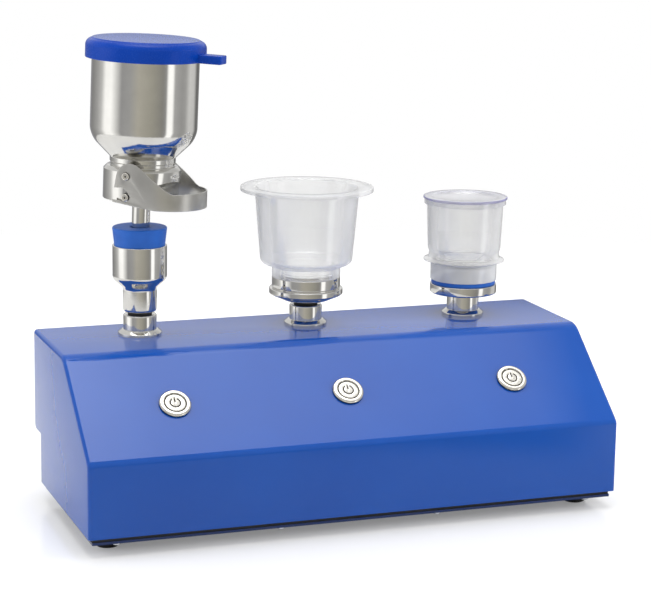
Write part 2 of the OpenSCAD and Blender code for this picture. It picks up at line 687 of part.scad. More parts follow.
module plastic_funnel() color(frosted) at_station(2) turned(concat(
    [[neck_in, funnel_z], [step_r, funnel_z], [step_r, shoulder_z],
     [funnel_low_r - shoulder_r, wall_z - shoulder_r]],
    arc([funnel_low_r - shoulder_r, wall_z], shoulder_r, -70, 0),
    [[funnel_top_r, funnel_top - rim_lip], [funnel_top_r + bevel, funnel_top - funnel_t],
     [wide_rim_r - bevel, funnel_top - funnel_t], [wide_rim_r - chamfer, funnel_top - rim_lip],
     [wide_rim_r, funnel_top - rim_lip], [wide_rim_r, funnel_top - chamfer],
     [wide_rim_r - chamfer, funnel_top], [funnel_top_r, funnel_top],
     [funnel_top_r - funnel_t, funnel_top - bevel]],
    arc([funnel_low_r - shoulder_r, wall_z], shoulder_r - funnel_t, 0, -70),
    [[neck_in, shoulder_z + funnel_t], [neck_in, funnel_seat + bevel], [head_disc_r, funnel_seat + bevel],
     [head_disc_r, funnel_seat], [neck_in, funnel_seat]]));

// ---- Station 3: steel seat, clear base, sample cup and lid ----
seat_top = seat_z + seat_h;
skirt_z = seat_top + blue_seal_t;
skirt_top = skirt_z + skirt_h;
skirt_t = 1.6;
blue_seal_r = skirt_r - 0.8;
blue_seal_in = blue_seal_r - 5;
pad_t = 1;
pad_r = membrane_d / 2;
pad_z = skirt_top + 2;
cup_floor = pad_z + pad_t + membrane_t + fit;
nozzle_r = 5.6;
nozzle_h = 11;
nozzle_top = seat_top + nozzle_h;
cup_rim = skirt_top + sample_cup_h;
base_boss_r = pad_r + bevel;
cup_low_z = skirt_top + 11.9;
cup_bend = 3;
cup_waist = cup_low_r - 1;
ear_z = skirt_top + fit;
ear_h = 8;
cup_lip = pad_r - 2.5;
cup_lid_z = cup_rim + fit;
cup_lid_top = cup_lid_z + 1.6;
cup_lid_t = 1.2;
cup_lid_skirt = 4.4;
lid_well_r = cup_lid_r - 9;
lid_well_z = cup_lid_z - chamfer;

module head_3() color(steel) at_station(3) turned([
    [drain_r, seat_z - spigot_len], [spigot_r, seat_z - spigot_len], [spigot_r, seat_z],
    [seat_r - bevel, seat_z], [seat_r, seat_z + bevel], [seat_r, seat_top - chamfer],
    [seat_r - chamfer, seat_top], [nozzle_r, seat_top], [nozzle_r, nozzle_top - chamfer],
    [nozzle_r - chamfer, nozzle_top], [drain_r, nozzle_top]]);
module head_seal() color(blue_rubber) at_station(3) turned([
    [blue_seal_in, seat_top], [blue_seal_r - chamfer, seat_top], [blue_seal_r, seat_top + chamfer],
    [blue_seal_r, skirt_z - chamfer], [blue_seal_r - chamfer, skirt_z], [blue_seal_in, skirt_z]]);
module cup_base() color(clear) at_station(3) turned([
    [nozzle_r + fit, skirt_z], [nozzle_r + skirt_t, skirt_z], [nozzle_r + skirt_t, skirt_top - 1.5 * skirt_t],
    [skirt_r - skirt_t, skirt_top - 1.5 * skirt_t], [skirt_r - skirt_t, skirt_z], [skirt_r, skirt_z],
    [skirt_r, skirt_top], [base_boss_r, skirt_top], [base_boss_r, pad_z + pad_t], [pad_r + fit, pad_z + pad_t],
    [pad_r + fit, pad_z], [pad_r - 3, pad_z], [drain_r - 1, skirt_top - 1],
    [drain_r - 1, nozzle_top + chamfer], [nozzle_r + fit, nozzle_top + chamfer]]);
module support_pad() color("white") at_station(3) translate([0, 0, pad_z]) cylinder(r = pad_r, h = pad_t);
module membrane_3() color("white") at_station(3)
    translate([0, 0, pad_z + pad_t]) cylinder(r = membrane_d / 2, h = membrane_t);
module sample_cup() color(frosted) at_station(3) turned(concat(
    [[base_boss_r + fit, ear_z]],
    arc([ear_r - ear_h / 2, ear_z + ear_h / 2], ear_h / 2, -90, 75),
    [[cup_waist, ear_z + ear_h], [cup_waist, cup_low_z - cup_bend]],
    arc([cup_low_r - cup_bend, cup_low_z], cup_bend, -30, 0, 3),
    [[cup_top_r, cup_rim - chamfer / 2], [cup_top_r - chamfer / 2, cup_rim], [cup_top_r - cup_t, cup_rim],
     [cup_low_r - cup_t, cup_low_z], [pad_r + chamfer, cup_floor + 2 * chamfer],
     [cup_lip, cup_floor + bevel], [cup_lip, cup_floor], [base_boss_r + fit, cup_floor]]));
module cup_lid() color(clear) at_station(3) turned([
    [cup_top_r + lid_clear, cup_lid_z - cup_lid_skirt], [cup_lid_r - 1, cup_lid_z - cup_lid_skirt],
    [cup_lid_r - 1, cup_lid_z - chamfer], [cup_lid_r, cup_lid_z], [cup_lid_r, cup_lid_top - chamfer],
    [cup_lid_r - chamfer, cup_lid_top], [lid_well_r + 2, cup_lid_top], [lid_well_r, lid_well_z],
    [0, lid_well_z], [0, lid_well_z - cup_lid_t], [lid_well_r - 1, lid_well_z - cup_lid_t],
    [lid_well_r + 1, cup_lid_z], [cup_top_r + lid_clear, cup_lid_z]]);

// ---- Buttons ----
bezel_r = bezel_d / 2;
seal_ring_t = 0.5;
bezel_t = 2.2;
bezel_top = seal_ring_t + bezel_t;
cap_hole_r = cap_r + 0.7;
cap_t = 3;
cap_top = bezel_top - 0.4;
cap_foot = cap_top - cap_t;
cap_well = cap_foot - travel - chamfer;
plunger_r = 3;
plunger_in = plunger_r + 0.08;
plunger_len = 9;
symbol_depth = 0.3;
button_nut_t = 3.5;
button_nut_z = -sheet_t - hair - button_nut_t;
body_foot = -body_len;
block_r = 8.5;
block_foot = body_foot - block_len;
blade_len = 4;
blade_x = 4;

module button_body(i) color(steel) at_button(i) turned([
    [plunger_in, body_foot], [body_r, body_foot], [body_r, seal_ring_t], [bezel_r, seal_ring_t],
    [bezel_r, seal_ring_t + chamfer], [bezel_r - bevel, bezel_top], [cap_hole_r + chamfer, bezel_top],
    [cap_hole_r, bezel_top - chamfer], [cap_hole_r, cap_well], [plunger_in, cap_well]]);
module power_symbol() {
    difference() {
        circle(r = symbol_r);
        circle(r = symbol_r - symbol_line);
        translate([-symbol_r * 0.4, 0]) square([symbol_r * 0.8, symbol_r + past]);
    }
    translate([-symbol_line / 2, symbol_r * 0.1]) square([symbol_line, symbol_r]);
}
module button_cap(i) color(steel) at_button(i) difference() {
    turned([[0, cap_foot - plunger_len], [plunger_r, cap_foot - plunger_len], [plunger_r, cap_foot],
            [cap_r, cap_foot], [cap_r, cap_top - chamfer / 2], [cap_r - chamfer / 2, cap_top], [0, cap_top]]);
    translate([0, 0, cap_top - symbol_depth]) linear_extrude(symbol_depth + past) power_symbol();
}
module button_seals() color(black_rubber) for (i = [1:3]) at_button(i) turned([
    [body_r + fit, hair], [bezel_r - 4 * fit, hair], [bezel_r - 4 * fit, seal_ring_t],
    [body_r + fit, seal_ring_t]]);
module button_nuts() color(zinc) for (i = [1:3]) at_button(i) translate([0, 0, button_nut_z]) difference() {
    hexagon(body_r + 4.2, button_nut_t);
    translate([0, 0, -past]) cylinder(r = body_r + fit, h = button_nut_t + 2 * past);
}
module contact_blocks() color([0.12, 0.12, 0.13]) for (i = [1:3]) at_button(i) {
    translate([0, 0, block_foot]) cylinder(r = block_r, h = block_len);
    for (x = [-blade_x, blade_x])
        translate([x, 0, block_foot - blade_len / 2]) cube([0.8, 2.8, blade_len], center = true);
}

// ---- Inside: pumps, hoses, drain, inlet and control board ----
nipple_len = 6;
pipe_y = base_d - sheet_t - 5.2;
pipe_t = 1.2;
pipe_end = 2;
hose_gap = 1;
nipple_out = (pipe_y - pipe_r - pump_back - hose_gap / 2) / 2;
pump_front = pump_back - pump_d;
motor_z = motor_r + 2.5;
motor_back = pump_front - motor_len;
hose_in = tail_r + fit;

module at_pump(i) in_housing() translate([station_x(i), 0, floor_z]) children();
module pump_heads() color([0.18, 0.19, 0.2]) for (i = [1:3]) at_pump(i) difference() {
    union() {
        translate([-pump_w / 2, pump_front, 0]) cube([pump_w, pump_d, pump_h]);
        translate([0, station_in, pump_h]) cylinder(r = tail_r, h = nipple_len);
        translate([0, pump_back, outlet_z - floor_z]) back_cylinder(tail_r, nipple_out);
    }
    for (x = [-1, 1]) translate([x * pump_w / 4, pump_back - pump_d / 2, -past])
        cylinder(r = pump_screw_r + fit, h = pump_screw_len + 2 * past);
    translate([0, station_in, pump_h - nipple_len])
        cylinder(r = tail_r / 2, h = 2 * nipple_len + past);
    translate([0, pump_back - nipple_len, outlet_z - floor_z])
        back_cylinder(tail_r / 2, nipple_len + nipple_out + past);
}
module pump_motors() color(zinc) for (i = [1:3]) at_pump(i) translate([0, pump_front, motor_z])
    rotate([90, 0, 0]) {
        cylinder(r = motor_r, h = motor_len);
        cylinder(r = motor_r / 3, h = motor_len + 2);
    }
module hose(length) difference() {
    cylinder(r = hose_r, h = length);
    translate([0, 0, -past]) cylinder(r = hose_in, h = length + 2 * past);
}
module suction_hoses() color([0.85, 0.87, 0.88]) for (i = [1:3]) at_pump(i)
    translate([0, station_in, pump_h + fit]) hose(housing_h - floor_z - shank_len - pump_h - 2 * fit);
module outlet_hoses() color([0.85, 0.87, 0.88]) for (i = [1:3]) in_housing()
    translate([station_x(i), pump_back + fit, outlet_z]) rotate([-90, 0, 0])
        hose(pipe_y - pipe_r - pump_back - hose_gap);
module pipe_along(r, length) rotate([0, 90, 0]) cylinder(r = r, h = length, center = true);
module drain_pipe() color(zinc) in_housing() translate([0, pipe_y, outlet_z]) difference() {
    pipe_len = 2 * (pitch + pump_w / 2);
    boss_len = base_d - sheet_t - pipe_y;
    union() {
        pipe_along(pipe_r, pipe_len);
        for (i = [1:3]) translate([station_x(i), -pipe_r - nipple_out, 0]) back_cylinder(tail_r, nipple_len);
        translate([outlet_x, 0, 0]) back_cylinder(outlet_r + 2.5, boss_len);
    }
    pipe_along(pipe_r - pipe_t, pipe_len - 2 * pipe_end);
    for (i = [1:3])
        translate([station_x(i), -pipe_r - nipple_out - past, 0])
            back_cylinder(tail_r / 2, nipple_len + 2 * past);
    translate([outlet_x, 0, 0]) back_cylinder(outlet_r + fit, boss_len + past);
}
module drain_outlet() color(steel) in_housing() translate([outlet_x, base_d, outlet_z]) difference() {
    stub_len = base_d - pipe_y - pipe_r;
    union() {
        translate([0, -stub_len, 0]) back_cylinder(outlet_r, stub_len + past);
        rotate([-90, 0, 0]) hexagon(outlet_r + 4, outlet_flange);
        translate([0, outlet_flange, 0]) back_cylinder(outlet_r, outlet_len);
    }
    translate([0, -stub_len - past, 0])
        back_cylinder(outlet_r - 1.5, stub_len + outlet_flange + outlet_len + 2 * past);
}
jack_r = 2.8;
jack_depth = 9;
jack_pin_r = 1;
jack_nut_t = 2.5;
jack_body = 12;
jack_rim_t = 2;
module power_inlet() color([0.1, 0.1, 0.11]) in_housing() translate([inlet_x, base_d, inlet_z]) difference() {
    union() {
        translate([0, -sheet_t - jack_body, 0]) back_cylinder(inlet_r, sheet_t + jack_body + past);
        back_cylinder(inlet_r + 2, jack_rim_t);
        translate([0, -sheet_t - jack_nut_t, 0]) rotate([-90, 0, 0]) hexagon(inlet_r + 2.5, jack_nut_t);
    }
    difference() {
        translate([0, -jack_depth, 0]) back_cylinder(jack_r, jack_depth + jack_rim_t + past);
        translate([0, -jack_depth - past, 0]) back_cylinder(jack_pin_r, jack_depth + 2 * past);
    }
}
board_t = 1.6;
pillar_h = 6;
pillar_in = 5;
pillar_nut_t = 1.8;
board_y = 12;
board_z = floor_z + pillar_h;
board_top = board_z + board_t;
plug_size = [8, 6, 7];
plug_y = board_y + board_d - 9;
plug_top = board_top + plug_size[2];
can_r = 4;
can_h = 11;
can_pitch = 30;
pillar_places = [for (x = [-1, 1], y = [board_y + pillar_in, board_y + board_d - pillar_in])
                 [x * (board_w / 2 - pillar_in), y]];

function plug_at(n) = [n * plug_pitch, plug_y, plug_top];
module control_board() color([0.05, 0.35, 0.2]) in_housing() difference() {
    union() {
        translate([-board_w / 2, board_y, board_z]) cube([board_w, board_d, board_t]);
        for (n = [-3:3])
            translate(plug_at(n) - [plug_size[0] / 2, plug_size[1] / 2, plug_size[2]]) cube(plug_size);
        for (n = [-1:1])
            translate([n * can_pitch, board_y + board_d / 3, board_top]) cylinder(r = can_r, h = can_h);
    }
    for (p = pillar_places) translate([p[0], p[1], board_z - past]) cylinder(r = 1.5, h = board_t + 2 * past);
}
module board_pillars() color(zinc) in_housing() for (p = pillar_places) translate([p[0], p[1], floor_z]) {
    hexagon(3, pillar_h);
    cylinder(r = 1.4, h = pillar_h + board_t + chamfer);
    translate([0, 0, pillar_h + board_t]) cylinder(r = 2.6, h = pillar_nut_t);
}

// Wires: from the board to each button and motor, and from the inlet to the board
wire_loop = 10;
back_way = [0, sin(slope_angle), -cos(slope_angle)];
block_end = [0, 0, front_h] + button_up * [0, cos(slope_angle), sin(slope_angle)]
    + (hair - block_foot) * back_way;
module wiring() color([0.1, 0.1, 0.1]) in_housing() {
    for (i = [1:3]) {
        side = i - 2;
        button_plug = plug_at(3 * side);
        start = [station_x(i) + wire_r, 0, 0] + block_end;
        wire([start, start + wire_loop / 2 * back_way, button_plug + [0, 0, wire_loop], button_plug]);
        motor_plug = plug_at(side == 0 ? -1 : 2 * side);
        end_z = floor_z + motor_z + 0.6 * motor_r;
        wire([[station_x(i), motor_back, end_z], [station_x(i), motor_back - wire_loop / 2, end_z],
              motor_plug + [0, 0, wire_loop], motor_plug]);
    }
    feed = plug_at(1);
    lane = (inlet_x + feed[0]) / 2;
    inlet_end = base_d - sheet_t - jack_body;
    wire([[inlet_x, inlet_end, inlet_z], [inlet_x, inlet_end - wire_loop, inlet_z],
          [lane, motor_back, plug_top + wire_loop], feed + [0, 0, wire_loop], feed]);
}

housing();
base_plate();
base_strip();
base_screws();
for (i = [1:4]) foot(i);
foot_screws();
for (i = [1:3]) post(i);
for (i = [1:3]) collar(i);
post_nuts();
post_seals();
holder_cup();
stopper();
filter_base();
support_disc_1();
membrane_1();
funnel_gasket();
locking_ring();
pivot_pins();
lock_pins();
lever();
steel_funnel();
funnel_lid();
head_2();
support_disc_2();
membrane_2();
plastic_funnel();
head_3();
head_seal();
cup_base();
support_pad();
membrane_3();
sample_cup();
cup_lid();
for (i = [1:3]) button_body(i);
for (i = [1:3]) button_cap(i);
button_seals();
button_nuts();
contact_blocks();
pump_heads();
pump_motors();
suction_hoses();
outlet_hoses();
drain_pipe();
drain_outlet();
power_inlet();
control_board();
board_pillars();
wiring();
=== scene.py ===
import json
import math

import bmesh
import bpy
from mathutils import Matrix, Vector


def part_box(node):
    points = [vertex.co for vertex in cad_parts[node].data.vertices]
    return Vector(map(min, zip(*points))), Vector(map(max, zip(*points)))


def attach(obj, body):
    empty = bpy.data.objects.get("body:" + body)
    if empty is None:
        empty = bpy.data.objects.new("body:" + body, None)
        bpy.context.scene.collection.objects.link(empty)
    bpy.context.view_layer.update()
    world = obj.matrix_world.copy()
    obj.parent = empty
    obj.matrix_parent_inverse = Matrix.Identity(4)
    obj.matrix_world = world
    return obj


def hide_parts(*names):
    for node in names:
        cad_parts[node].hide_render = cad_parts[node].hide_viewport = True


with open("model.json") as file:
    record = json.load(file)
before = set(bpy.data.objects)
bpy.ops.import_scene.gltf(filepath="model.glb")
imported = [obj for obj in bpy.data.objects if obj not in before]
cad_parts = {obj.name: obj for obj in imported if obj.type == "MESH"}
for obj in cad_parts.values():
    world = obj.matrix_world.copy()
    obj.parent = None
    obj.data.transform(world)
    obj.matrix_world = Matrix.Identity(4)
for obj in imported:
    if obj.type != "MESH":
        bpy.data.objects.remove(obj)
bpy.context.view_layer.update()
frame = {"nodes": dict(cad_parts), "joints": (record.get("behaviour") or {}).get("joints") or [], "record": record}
mm = 0.001
scene = bpy.context.scene


# helpers that shape a mesh and hang a piece on its body

def turn(degrees, axis):
    return Matrix.Rotation(math.radians(degrees), 4, axis)


def vertsOf(geometry):
    return [item for item in geometry if isinstance(item, bmesh.types.BMVert)]


def vertsSince(bm, old):
    return [vertex for vertex in bm.verts if vertex not in old]


def edgesAt(verts):
    # each edge once, in the order of its vertices
    return list(dict.fromkeys(edge for vertex in verts for edge in vertex.link_edges))


def finishMesh(bm, name, smoothAngle=32):
    # normals outward, smooth between soft edges, crisp at the others
    bmesh.ops.recalc_face_normals(bm, faces=bm.faces)
    for face in bm.faces:
        face.smooth = True
    for edge in bm.edges:
        edge.smooth = len(edge.link_faces) == 2 and edge.calc_face_angle(0) < math.radians(smoothAngle)
    mesh = bpy.data.meshes.new(name)
    bm.to_mesh(mesh)
    bm.free()
    piece = bpy.data.objects.new(name, mesh)
    scene.collection.objects.link(piece)
    return piece


def roundedWire(bm, corners, closed):
    # a polyline in the XZ plane; a corner is (radius, height), and a rounded one adds the rounding's length
    # and, if they aren't 4, its steps
    made = [bm.verts.new((corner[0], 0, corner[1])) for corner in corners]
    for first, second in zip(made, made[1:] + ([made[0]] if closed else [])):
        bm.edges.new((first, second))
    for vertex, corner in zip(made, corners):
        if len(corner) > 2:
            segments = corner[3] if len(corner) > 3 else 4
            bmesh.ops.bevel(bm, geom=[vertex], affect="VERTICES", offset=corner[2], offset_type="OFFSET",
                            segments=segments, profile=0.5, material=-1)


def lathe(bm, corners, steps=112):
    # spins a profile round the Z axis; one that starts and ends on the axis stays open there
    onAxis = corners[0][0] == 0 and corners[-1][0] == 0
    old = set(bm.verts)
    roundedWire(bm, corners, not onAxis)
    new = vertsSince(bm, old)
    bmesh.ops.spin(bm, geom=new + edgesAt(new), cent=(0, 0, 0), axis=(0, 0, 1), dvec=(0, 0, 0),
                   angle=2 * math.pi, steps=steps, use_merge=True, use_duplicate=False)
    bmesh.ops.remove_doubles(bm, verts=vertsSince(bm, old), dist=1e-4)


def placePiece(piece, place, body, slotName, material, *nodes):
    piece.data.transform(place)
    piece.data.materials.append(material)
    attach(piece, body)
    if nodes:
        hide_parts(*nodes)
    return piece


def turnedPiece(name, corners, place, slotName, material, *nodes, steps=112):
    bm = bmesh.new()
    lathe(bm, corners, steps)
    return placePiece(finishMesh(bm, name), place @ Matrix.Scale(mm, 4), "unit", slotName, material, *nodes)


def softenedCopy(name, node, width, slotName, material, body="unit", segments=2):
    # a merged copy of a CAD node with its sharp edges broken
    sharp = math.radians(35)
    bm = bmesh.new()
    bm.from_mesh(frame["nodes"][node].data)
    bmesh.ops.remove_doubles(bm, verts=bm.verts, dist=2e-6)
    bmesh.ops.recalc_face_normals(bm, faces=bm.faces)
    bmesh.ops.dissolve_limit(bm, angle_limit=math.radians(0.4), verts=bm.verts, edges=bm.edges)
    edges = [e for e in bm.edges if len(e.link_faces) == 2 and e.calc_face_angle(0) > sharp]
    bmesh.ops.bevel(bm, geom=edges, affect="EDGES", offset=width * mm, offset_type="OFFSET",
                    segments=segments, profile=0.5, material=-1, clamp_overlap=True)
    return placePiece(finishMesh(bm, name), Matrix.Identity(4), body, slotName, material, node)


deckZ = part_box("collar_1")[0].z


def stationPlace(number):
    low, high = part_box(f"post_{number}")
    return Matrix.Translation(((low.x + high.x) / 2, (low.y + high.y) / 2, deckZ))


# the steel funnel leans about a point of its stem; "lever" is the direction in which the lever's loop points
leanSettings = {"angle": 1.9, "toward": -20, "about": 60 * mm, "lever": -38.6}


def leaningPlace():
    lean = leanSettings
    tilted = turn(lean["toward"], "Z") @ turn(lean["angle"], "Y") @ turn(-lean["toward"], "Z")
    pivot = Matrix.Translation((0, 0, lean["about"]))
    return stationPlace(1) @ pivot @ tilted @ pivot.inverted()


leanPlace = leaningPlace()
leverPlace = leanPlace @ turn(leanSettings["lever"], "Z")


cameraSettings = {"azimuth": -20.0, "elevation": 11.65, "roll": 0.83, "distance": 1.668,
                  "lens": 119.7, "sensor": 36, "nearest": 0.05, "farthest": 50,
                  "target": (-0.0004, 0.0885, 0.1505)}  # from the middle of the housing's lower front edge


def makeCamera():
    view = cameraSettings
    azimuth, elevation, roll = (math.radians(view[k]) for k in ("azimuth", "elevation", "roll"))
    back = Vector((math.sin(azimuth) * math.cos(elevation), -math.cos(azimuth) * math.cos(elevation),
                   math.sin(elevation)))
    right = Vector((math.cos(azimuth), math.sin(azimuth), 0))
    up = back.cross(right)
    rolledRight = right * math.cos(roll) + up * math.sin(roll)
    rolledUp = up * math.cos(roll) - right * math.sin(roll)
    data = bpy.data.cameras.new("camera")
    data.lens, data.sensor_width = view["lens"], view["sensor"]
    data.clip_start, data.clip_end = view["nearest"], view["farthest"]
    camera = bpy.data.objects.new("camera", data)
    scene.collection.objects.link(camera)
    low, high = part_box("housing")
    target = Vector(((low.x + high.x) / 2, low.y, low.z)) + Vector(view["target"])
    axes = Matrix((rolledRight, rolledUp, back)).transposed().to_4x4()
    camera.matrix_world = Matrix.Translation(target + back * view["distance"]) @ axes
    scene.camera = camera


makeCamera()
print("camera in place")


class Wire:
    # a socket of the tree that is being drawn, with arithmetic on it
    tree = None

    def __init__(self, socket):
        self.socket = socket

    @classmethod
    def node(cls, kind, settings, inputs, output=0):
        made = cls.tree.nodes.new("ShaderNode" + kind)
        for key, value in settings.items():
            if key == "stops":
                ramp = made.color_ramp
                while len(ramp.elements) < len(value):
                    ramp.elements.new(0.5)
                for element, (position, colour) in zip(ramp.elements, value):
                    element.position = position
                    element.color = (*colour, 1)
            else:
                setattr(made, key, value)
        for key, value in inputs.items():
            if isinstance(value, Wire):
                cls.tree.links.new(value.socket, made.inputs[key])
            else:
                made.inputs[key].default_value = value
        return cls(made.outputs[output])

    @staticmethod
    def calculate(operation, first, second):
        return Wire.node("Math", {"operation": operation}, {0: first, 1: second})

    def __add__(self, other):
        return Wire.calculate("ADD", self, other)

    def __radd__(self, other):
        return Wire.calculate("ADD", other, self)

    def __sub__(self, other):
        return Wire.calculate("SUBTRACT", self, other)

    def __rsub__(self, other):
        return Wire.calculate("SUBTRACT", other, self)

    def __mul__(self, other):
        return Wire.calculate("MULTIPLY", self, other)

    def __rmul__(self, other):
        return Wire.calculate("MULTIPLY", other, self)

    def __truediv__(self, other):
        return Wire.calculate("DIVIDE", self, other)

    def __rtruediv__(self, other):
        return Wire.calculate("DIVIDE", other, self)


def objectPoint(scale=(1, 1, 1), location=(0, 0, 0)):
    point = Wire.node("TexCoord", {}, {}, "Object")
    return Wire.node("Mapping", {}, {"Vector": point, "Scale": scale, "Location": location})


def noise(point, scale, detail=2.0, roughness=0.5):
    return Wire.node("TexNoise", {}, {"Vector": point, "Scale": scale, "Detail": detail,
                                      "Roughness": roughness})


def blend(factor, first, second):
    return Wire.node("Mix", {"data_type": "RGBA"}, {0: factor, 6: (*first, 1), 7: (*second, 1)}, 2)


def between(value, low, high, toLow=0.0, toHigh=1.0):
    return Wire.node("MapRange", {"clamp": True},
                     {"Value": value, "From Min": low, "From Max": high, "To Min": toLow, "To Max": toHigh})


def bump(height, distance):
    return Wire.node("Bump", {}, {"Height": height, "Distance": distance, "Strength": 1.0})


def startMaterial(name):
    material = bpy.data.materials.new(name)
    material.use_nodes = True
    material.node_tree.nodes.clear()
    Wire.tree = material.node_tree
    return material


def finishMaterial(material, inputs):
    surface = Wire.node("BsdfPrincipled", {}, inputs)
    outputTo(surface)
    return material


def outputTo(surface):
    output = Wire.tree.nodes.new("ShaderNodeOutputMaterial")
    Wire.tree.links.new(surface.socket, output.inputs["Surface"])


paintLook = {"smooth": 0.20, "rough": 0.27, "cloudScale": 9, "peelScale": 160, "peelDepth": 0.000003,
             "coat": 0.76, "coatRough": 0.04}


def makePaint(name, deep, bright):
    # powder coat: a soft coloured ground with orange peel under a thin gloss
    look = paintLook
    material = startMaterial(name)
    cloud = noise(objectPoint(), look["cloudScale"], detail=3, roughness=0.55)
    peel = noise(objectPoint(), look["peelScale"])
    return finishMaterial(material, {
        "Base Color": blend(between(cloud, 0.35, 0.65), deep, bright),
        "Roughness": between(peel, 0.3, 0.7, look["smooth"], look["rough"]),
        "Specular IOR Level": 0.03, "IOR": 1.5, "Coat Weight": look["coat"],
        "Coat Roughness": look["coatRough"], "Normal": bump(peel, look["peelDepth"])})


def makeSteel(name, look):
    # the grain's three scales draw it out into lines; smudges change its tone a little
    material = startMaterial(name)
    lines = noise(objectPoint(look["grain"]), scale=1.0, detail=4, roughness=0.6)
    smudge = noise(objectPoint(), scale=38, detail=3, roughness=0.6)
    return finishMaterial(material, {
        "Base Color": blend(between(smudge, 0.3, 0.7), look["dark"], look["light"]), "Metallic": 1.0,
        "Roughness": between(lines * 0.6 + smudge * 0.4, 0.35, 0.65, look["smooth"], look["rough"]),
        "Normal": bump(lines, look["depth"])})


def makePlain(name, look):
    # rubber, silicone and opaque plastics
    material = startMaterial(name)
    cloud = noise(objectPoint(), look.get("cloudScale", 60), detail=3, roughness=0.6)
    grain = noise(objectPoint(), look.get("grainScale", 900), detail=3, roughness=0.6)
    inputs = {"Base Color": blend(between(cloud, 0.3, 0.7), look["dark"], look["light"]),
              "Roughness": between(grain, 0.3, 0.7, look["smooth"], look["rough"]),
              "Normal": bump(grain, look["depth"])}
    inputs.update(look.get("constants", {}))
    return finishMaterial(material, inputs)


def makeSeeThrough(name, look):
    # a moulded wall, more solid where it is seen edge on, with a gloss that stays where it is thin
    material = startMaterial(name)
    facing = Wire.node("LayerWeight", {}, {"Blend": look["blend"]}, "Facing")
    grain = noise(objectPoint(), look["grainScale"])
    cloud = noise(objectPoint(), scale=30)
    rough = between(grain, 0.3, 0.7, look["smooth"], look["rough"])
    alpha = between(facing, 0.0, 1.0, look["thin"], look["thick"]) + (cloud - 0.5) * look["cloud"]
    relief = bump(grain, look["depth"])
    wall = Wire.node("BsdfPrincipled", {}, {
        "Base Color": blend(between(cloud, 0.3, 0.7), look["dark"], look["light"]),
        "Roughness": rough, "IOR": 1.45, "Alpha": alpha, "Normal": relief})
    gloss = Wire.node("BsdfPrincipled", {}, {
        "Base Color": (1, 1, 1, 1), "Metallic": 1.0, "Roughness": rough, "Normal": relief})
    share = between(facing, 0.0, 1.0, *look["gloss"])
    outputTo(Wire.node("MixShader", {}, {0: share, 1: wall, 2: gloss}))
    return material


bluePaint = makePaint("bluePowderCoat", (0.004, 0.070, 0.375), (0.005, 0.079, 0.405))
# painted shade: a darker blue for the base plate, which lies in the housing's shadow
shadedPlatePaint = makePaint("shadedPlatePowderCoat", (0.003, 0.020, 0.100), (0.004, 0.024, 0.120))
polishedSteel = makeSteel("polishedSteel", {
    "dark": (0.66, 0.65, 0.62), "light": (0.74, 0.73, 0.70), "smooth": 0.05, "rough": 0.10,
    "grain": (40, 40, 900), "depth": 0.0000015})
satinSteel = makeSteel("satinSteel", {
    "dark": (0.66, 0.65, 0.62), "light": (0.74, 0.73, 0.695), "smooth": 0.07, "rough": 0.12,
    "grain": (30, 30, 1500), "depth": 0.0000016})
flatSteel = makeSteel("flatSteel", {
    "dark": (0.52, 0.51, 0.48), "light": (0.58, 0.57, 0.54), "smooth": 0.28, "rough": 0.38,
    "grain": (300, 300, 1600), "depth": 0.000004})
bezelSteel = makeSteel("bezelSteel", {
    "dark": (0.76, 0.73, 0.66), "light": (0.84, 0.81, 0.74), "smooth": 0.10, "rough": 0.16,
    "grain": (400, 400, 400), "depth": 0.000001})
# painted shade: a near-black steel for the walls and hollows of the pins and bezels
shadowSteel = makeSteel("shadowSteel", {
    "dark": (0.09, 0.09, 0.09), "light": (0.13, 0.13, 0.13), "smooth": 0.25, "rough": 0.35,
    "grain": (400, 400, 400), "depth": 0.000001})
pearlSteel = makePlain("pearlSteel", {
    "dark": (0.72, 0.70, 0.64), "light": (0.78, 0.76, 0.70), "smooth": 0.22, "rough": 0.30,
    "depth": 0.000002, "constants": {"Metallic": 0.35}})
zincPlate = makeSteel("zincPlate", {
    "dark": (0.58, 0.60, 0.62), "light": (0.68, 0.69, 0.71), "smooth": 0.28, "rough": 0.40,
    "grain": (200, 200, 200), "depth": 0.000006})
blackRubber = makePlain("blackRubber", {
    "dark": (0.010, 0.010, 0.011), "light": (0.020, 0.020, 0.022), "smooth": 0.55, "rough": 0.75,
    "depth": 0.00002})
blueRubber = makePlain("blueRubber", {
    "dark": (0.008, 0.105, 0.48), "light": (0.014, 0.13, 0.55), "smooth": 0.42, "rough": 0.58,
    "depth": 0.000015})
blueSilicone = makePlain("blueSilicone", {
    "dark": (0.002, 0.044, 0.35), "light": (0.003, 0.052, 0.39), "smooth": 0.22, "rough": 0.30,
    "depth": 0.000004, "cloudScale": 25, "constants": {"Specular IOR Level": 0.16}})
# painted glare: the lid's silicone made paler and greyer for its flat top
glareTopSilicone = makePlain("glareTopSilicone", {
    "dark": (0.045, 0.095, 0.36), "light": (0.055, 0.11, 0.40), "smooth": 0.24, "rough": 0.32,
    "depth": 0.000004, "cloudScale": 25, "constants": {"Specular IOR Level": 0.70}})
clearSilicone = makePlain("clearSilicone", {
    "dark": (0.66, 0.68, 0.70), "light": (0.76, 0.78, 0.80), "smooth": 0.28, "rough": 0.42,
    "depth": 0.00001})
blackPlastic = makePlain("blackPlastic", {
    "dark": (0.016, 0.016, 0.018), "light": (0.028, 0.028, 0.030), "smooth": 0.32, "rough": 0.48,
    "depth": 0.00001})
boardLaminate = makePlain("boardLaminate", {
    "dark": (0.006, 0.09, 0.04), "light": (0.012, 0.14, 0.065), "smooth": 0.22, "rough": 0.34,
    "depth": 0.000005})
membranePaper = makePlain("membranePaper", {
    "dark": (0.80, 0.80, 0.78), "light": (0.88, 0.88, 0.87), "smooth": 0.8, "rough": 0.95,
    "depth": 0.00002, "grainScale": 2500})
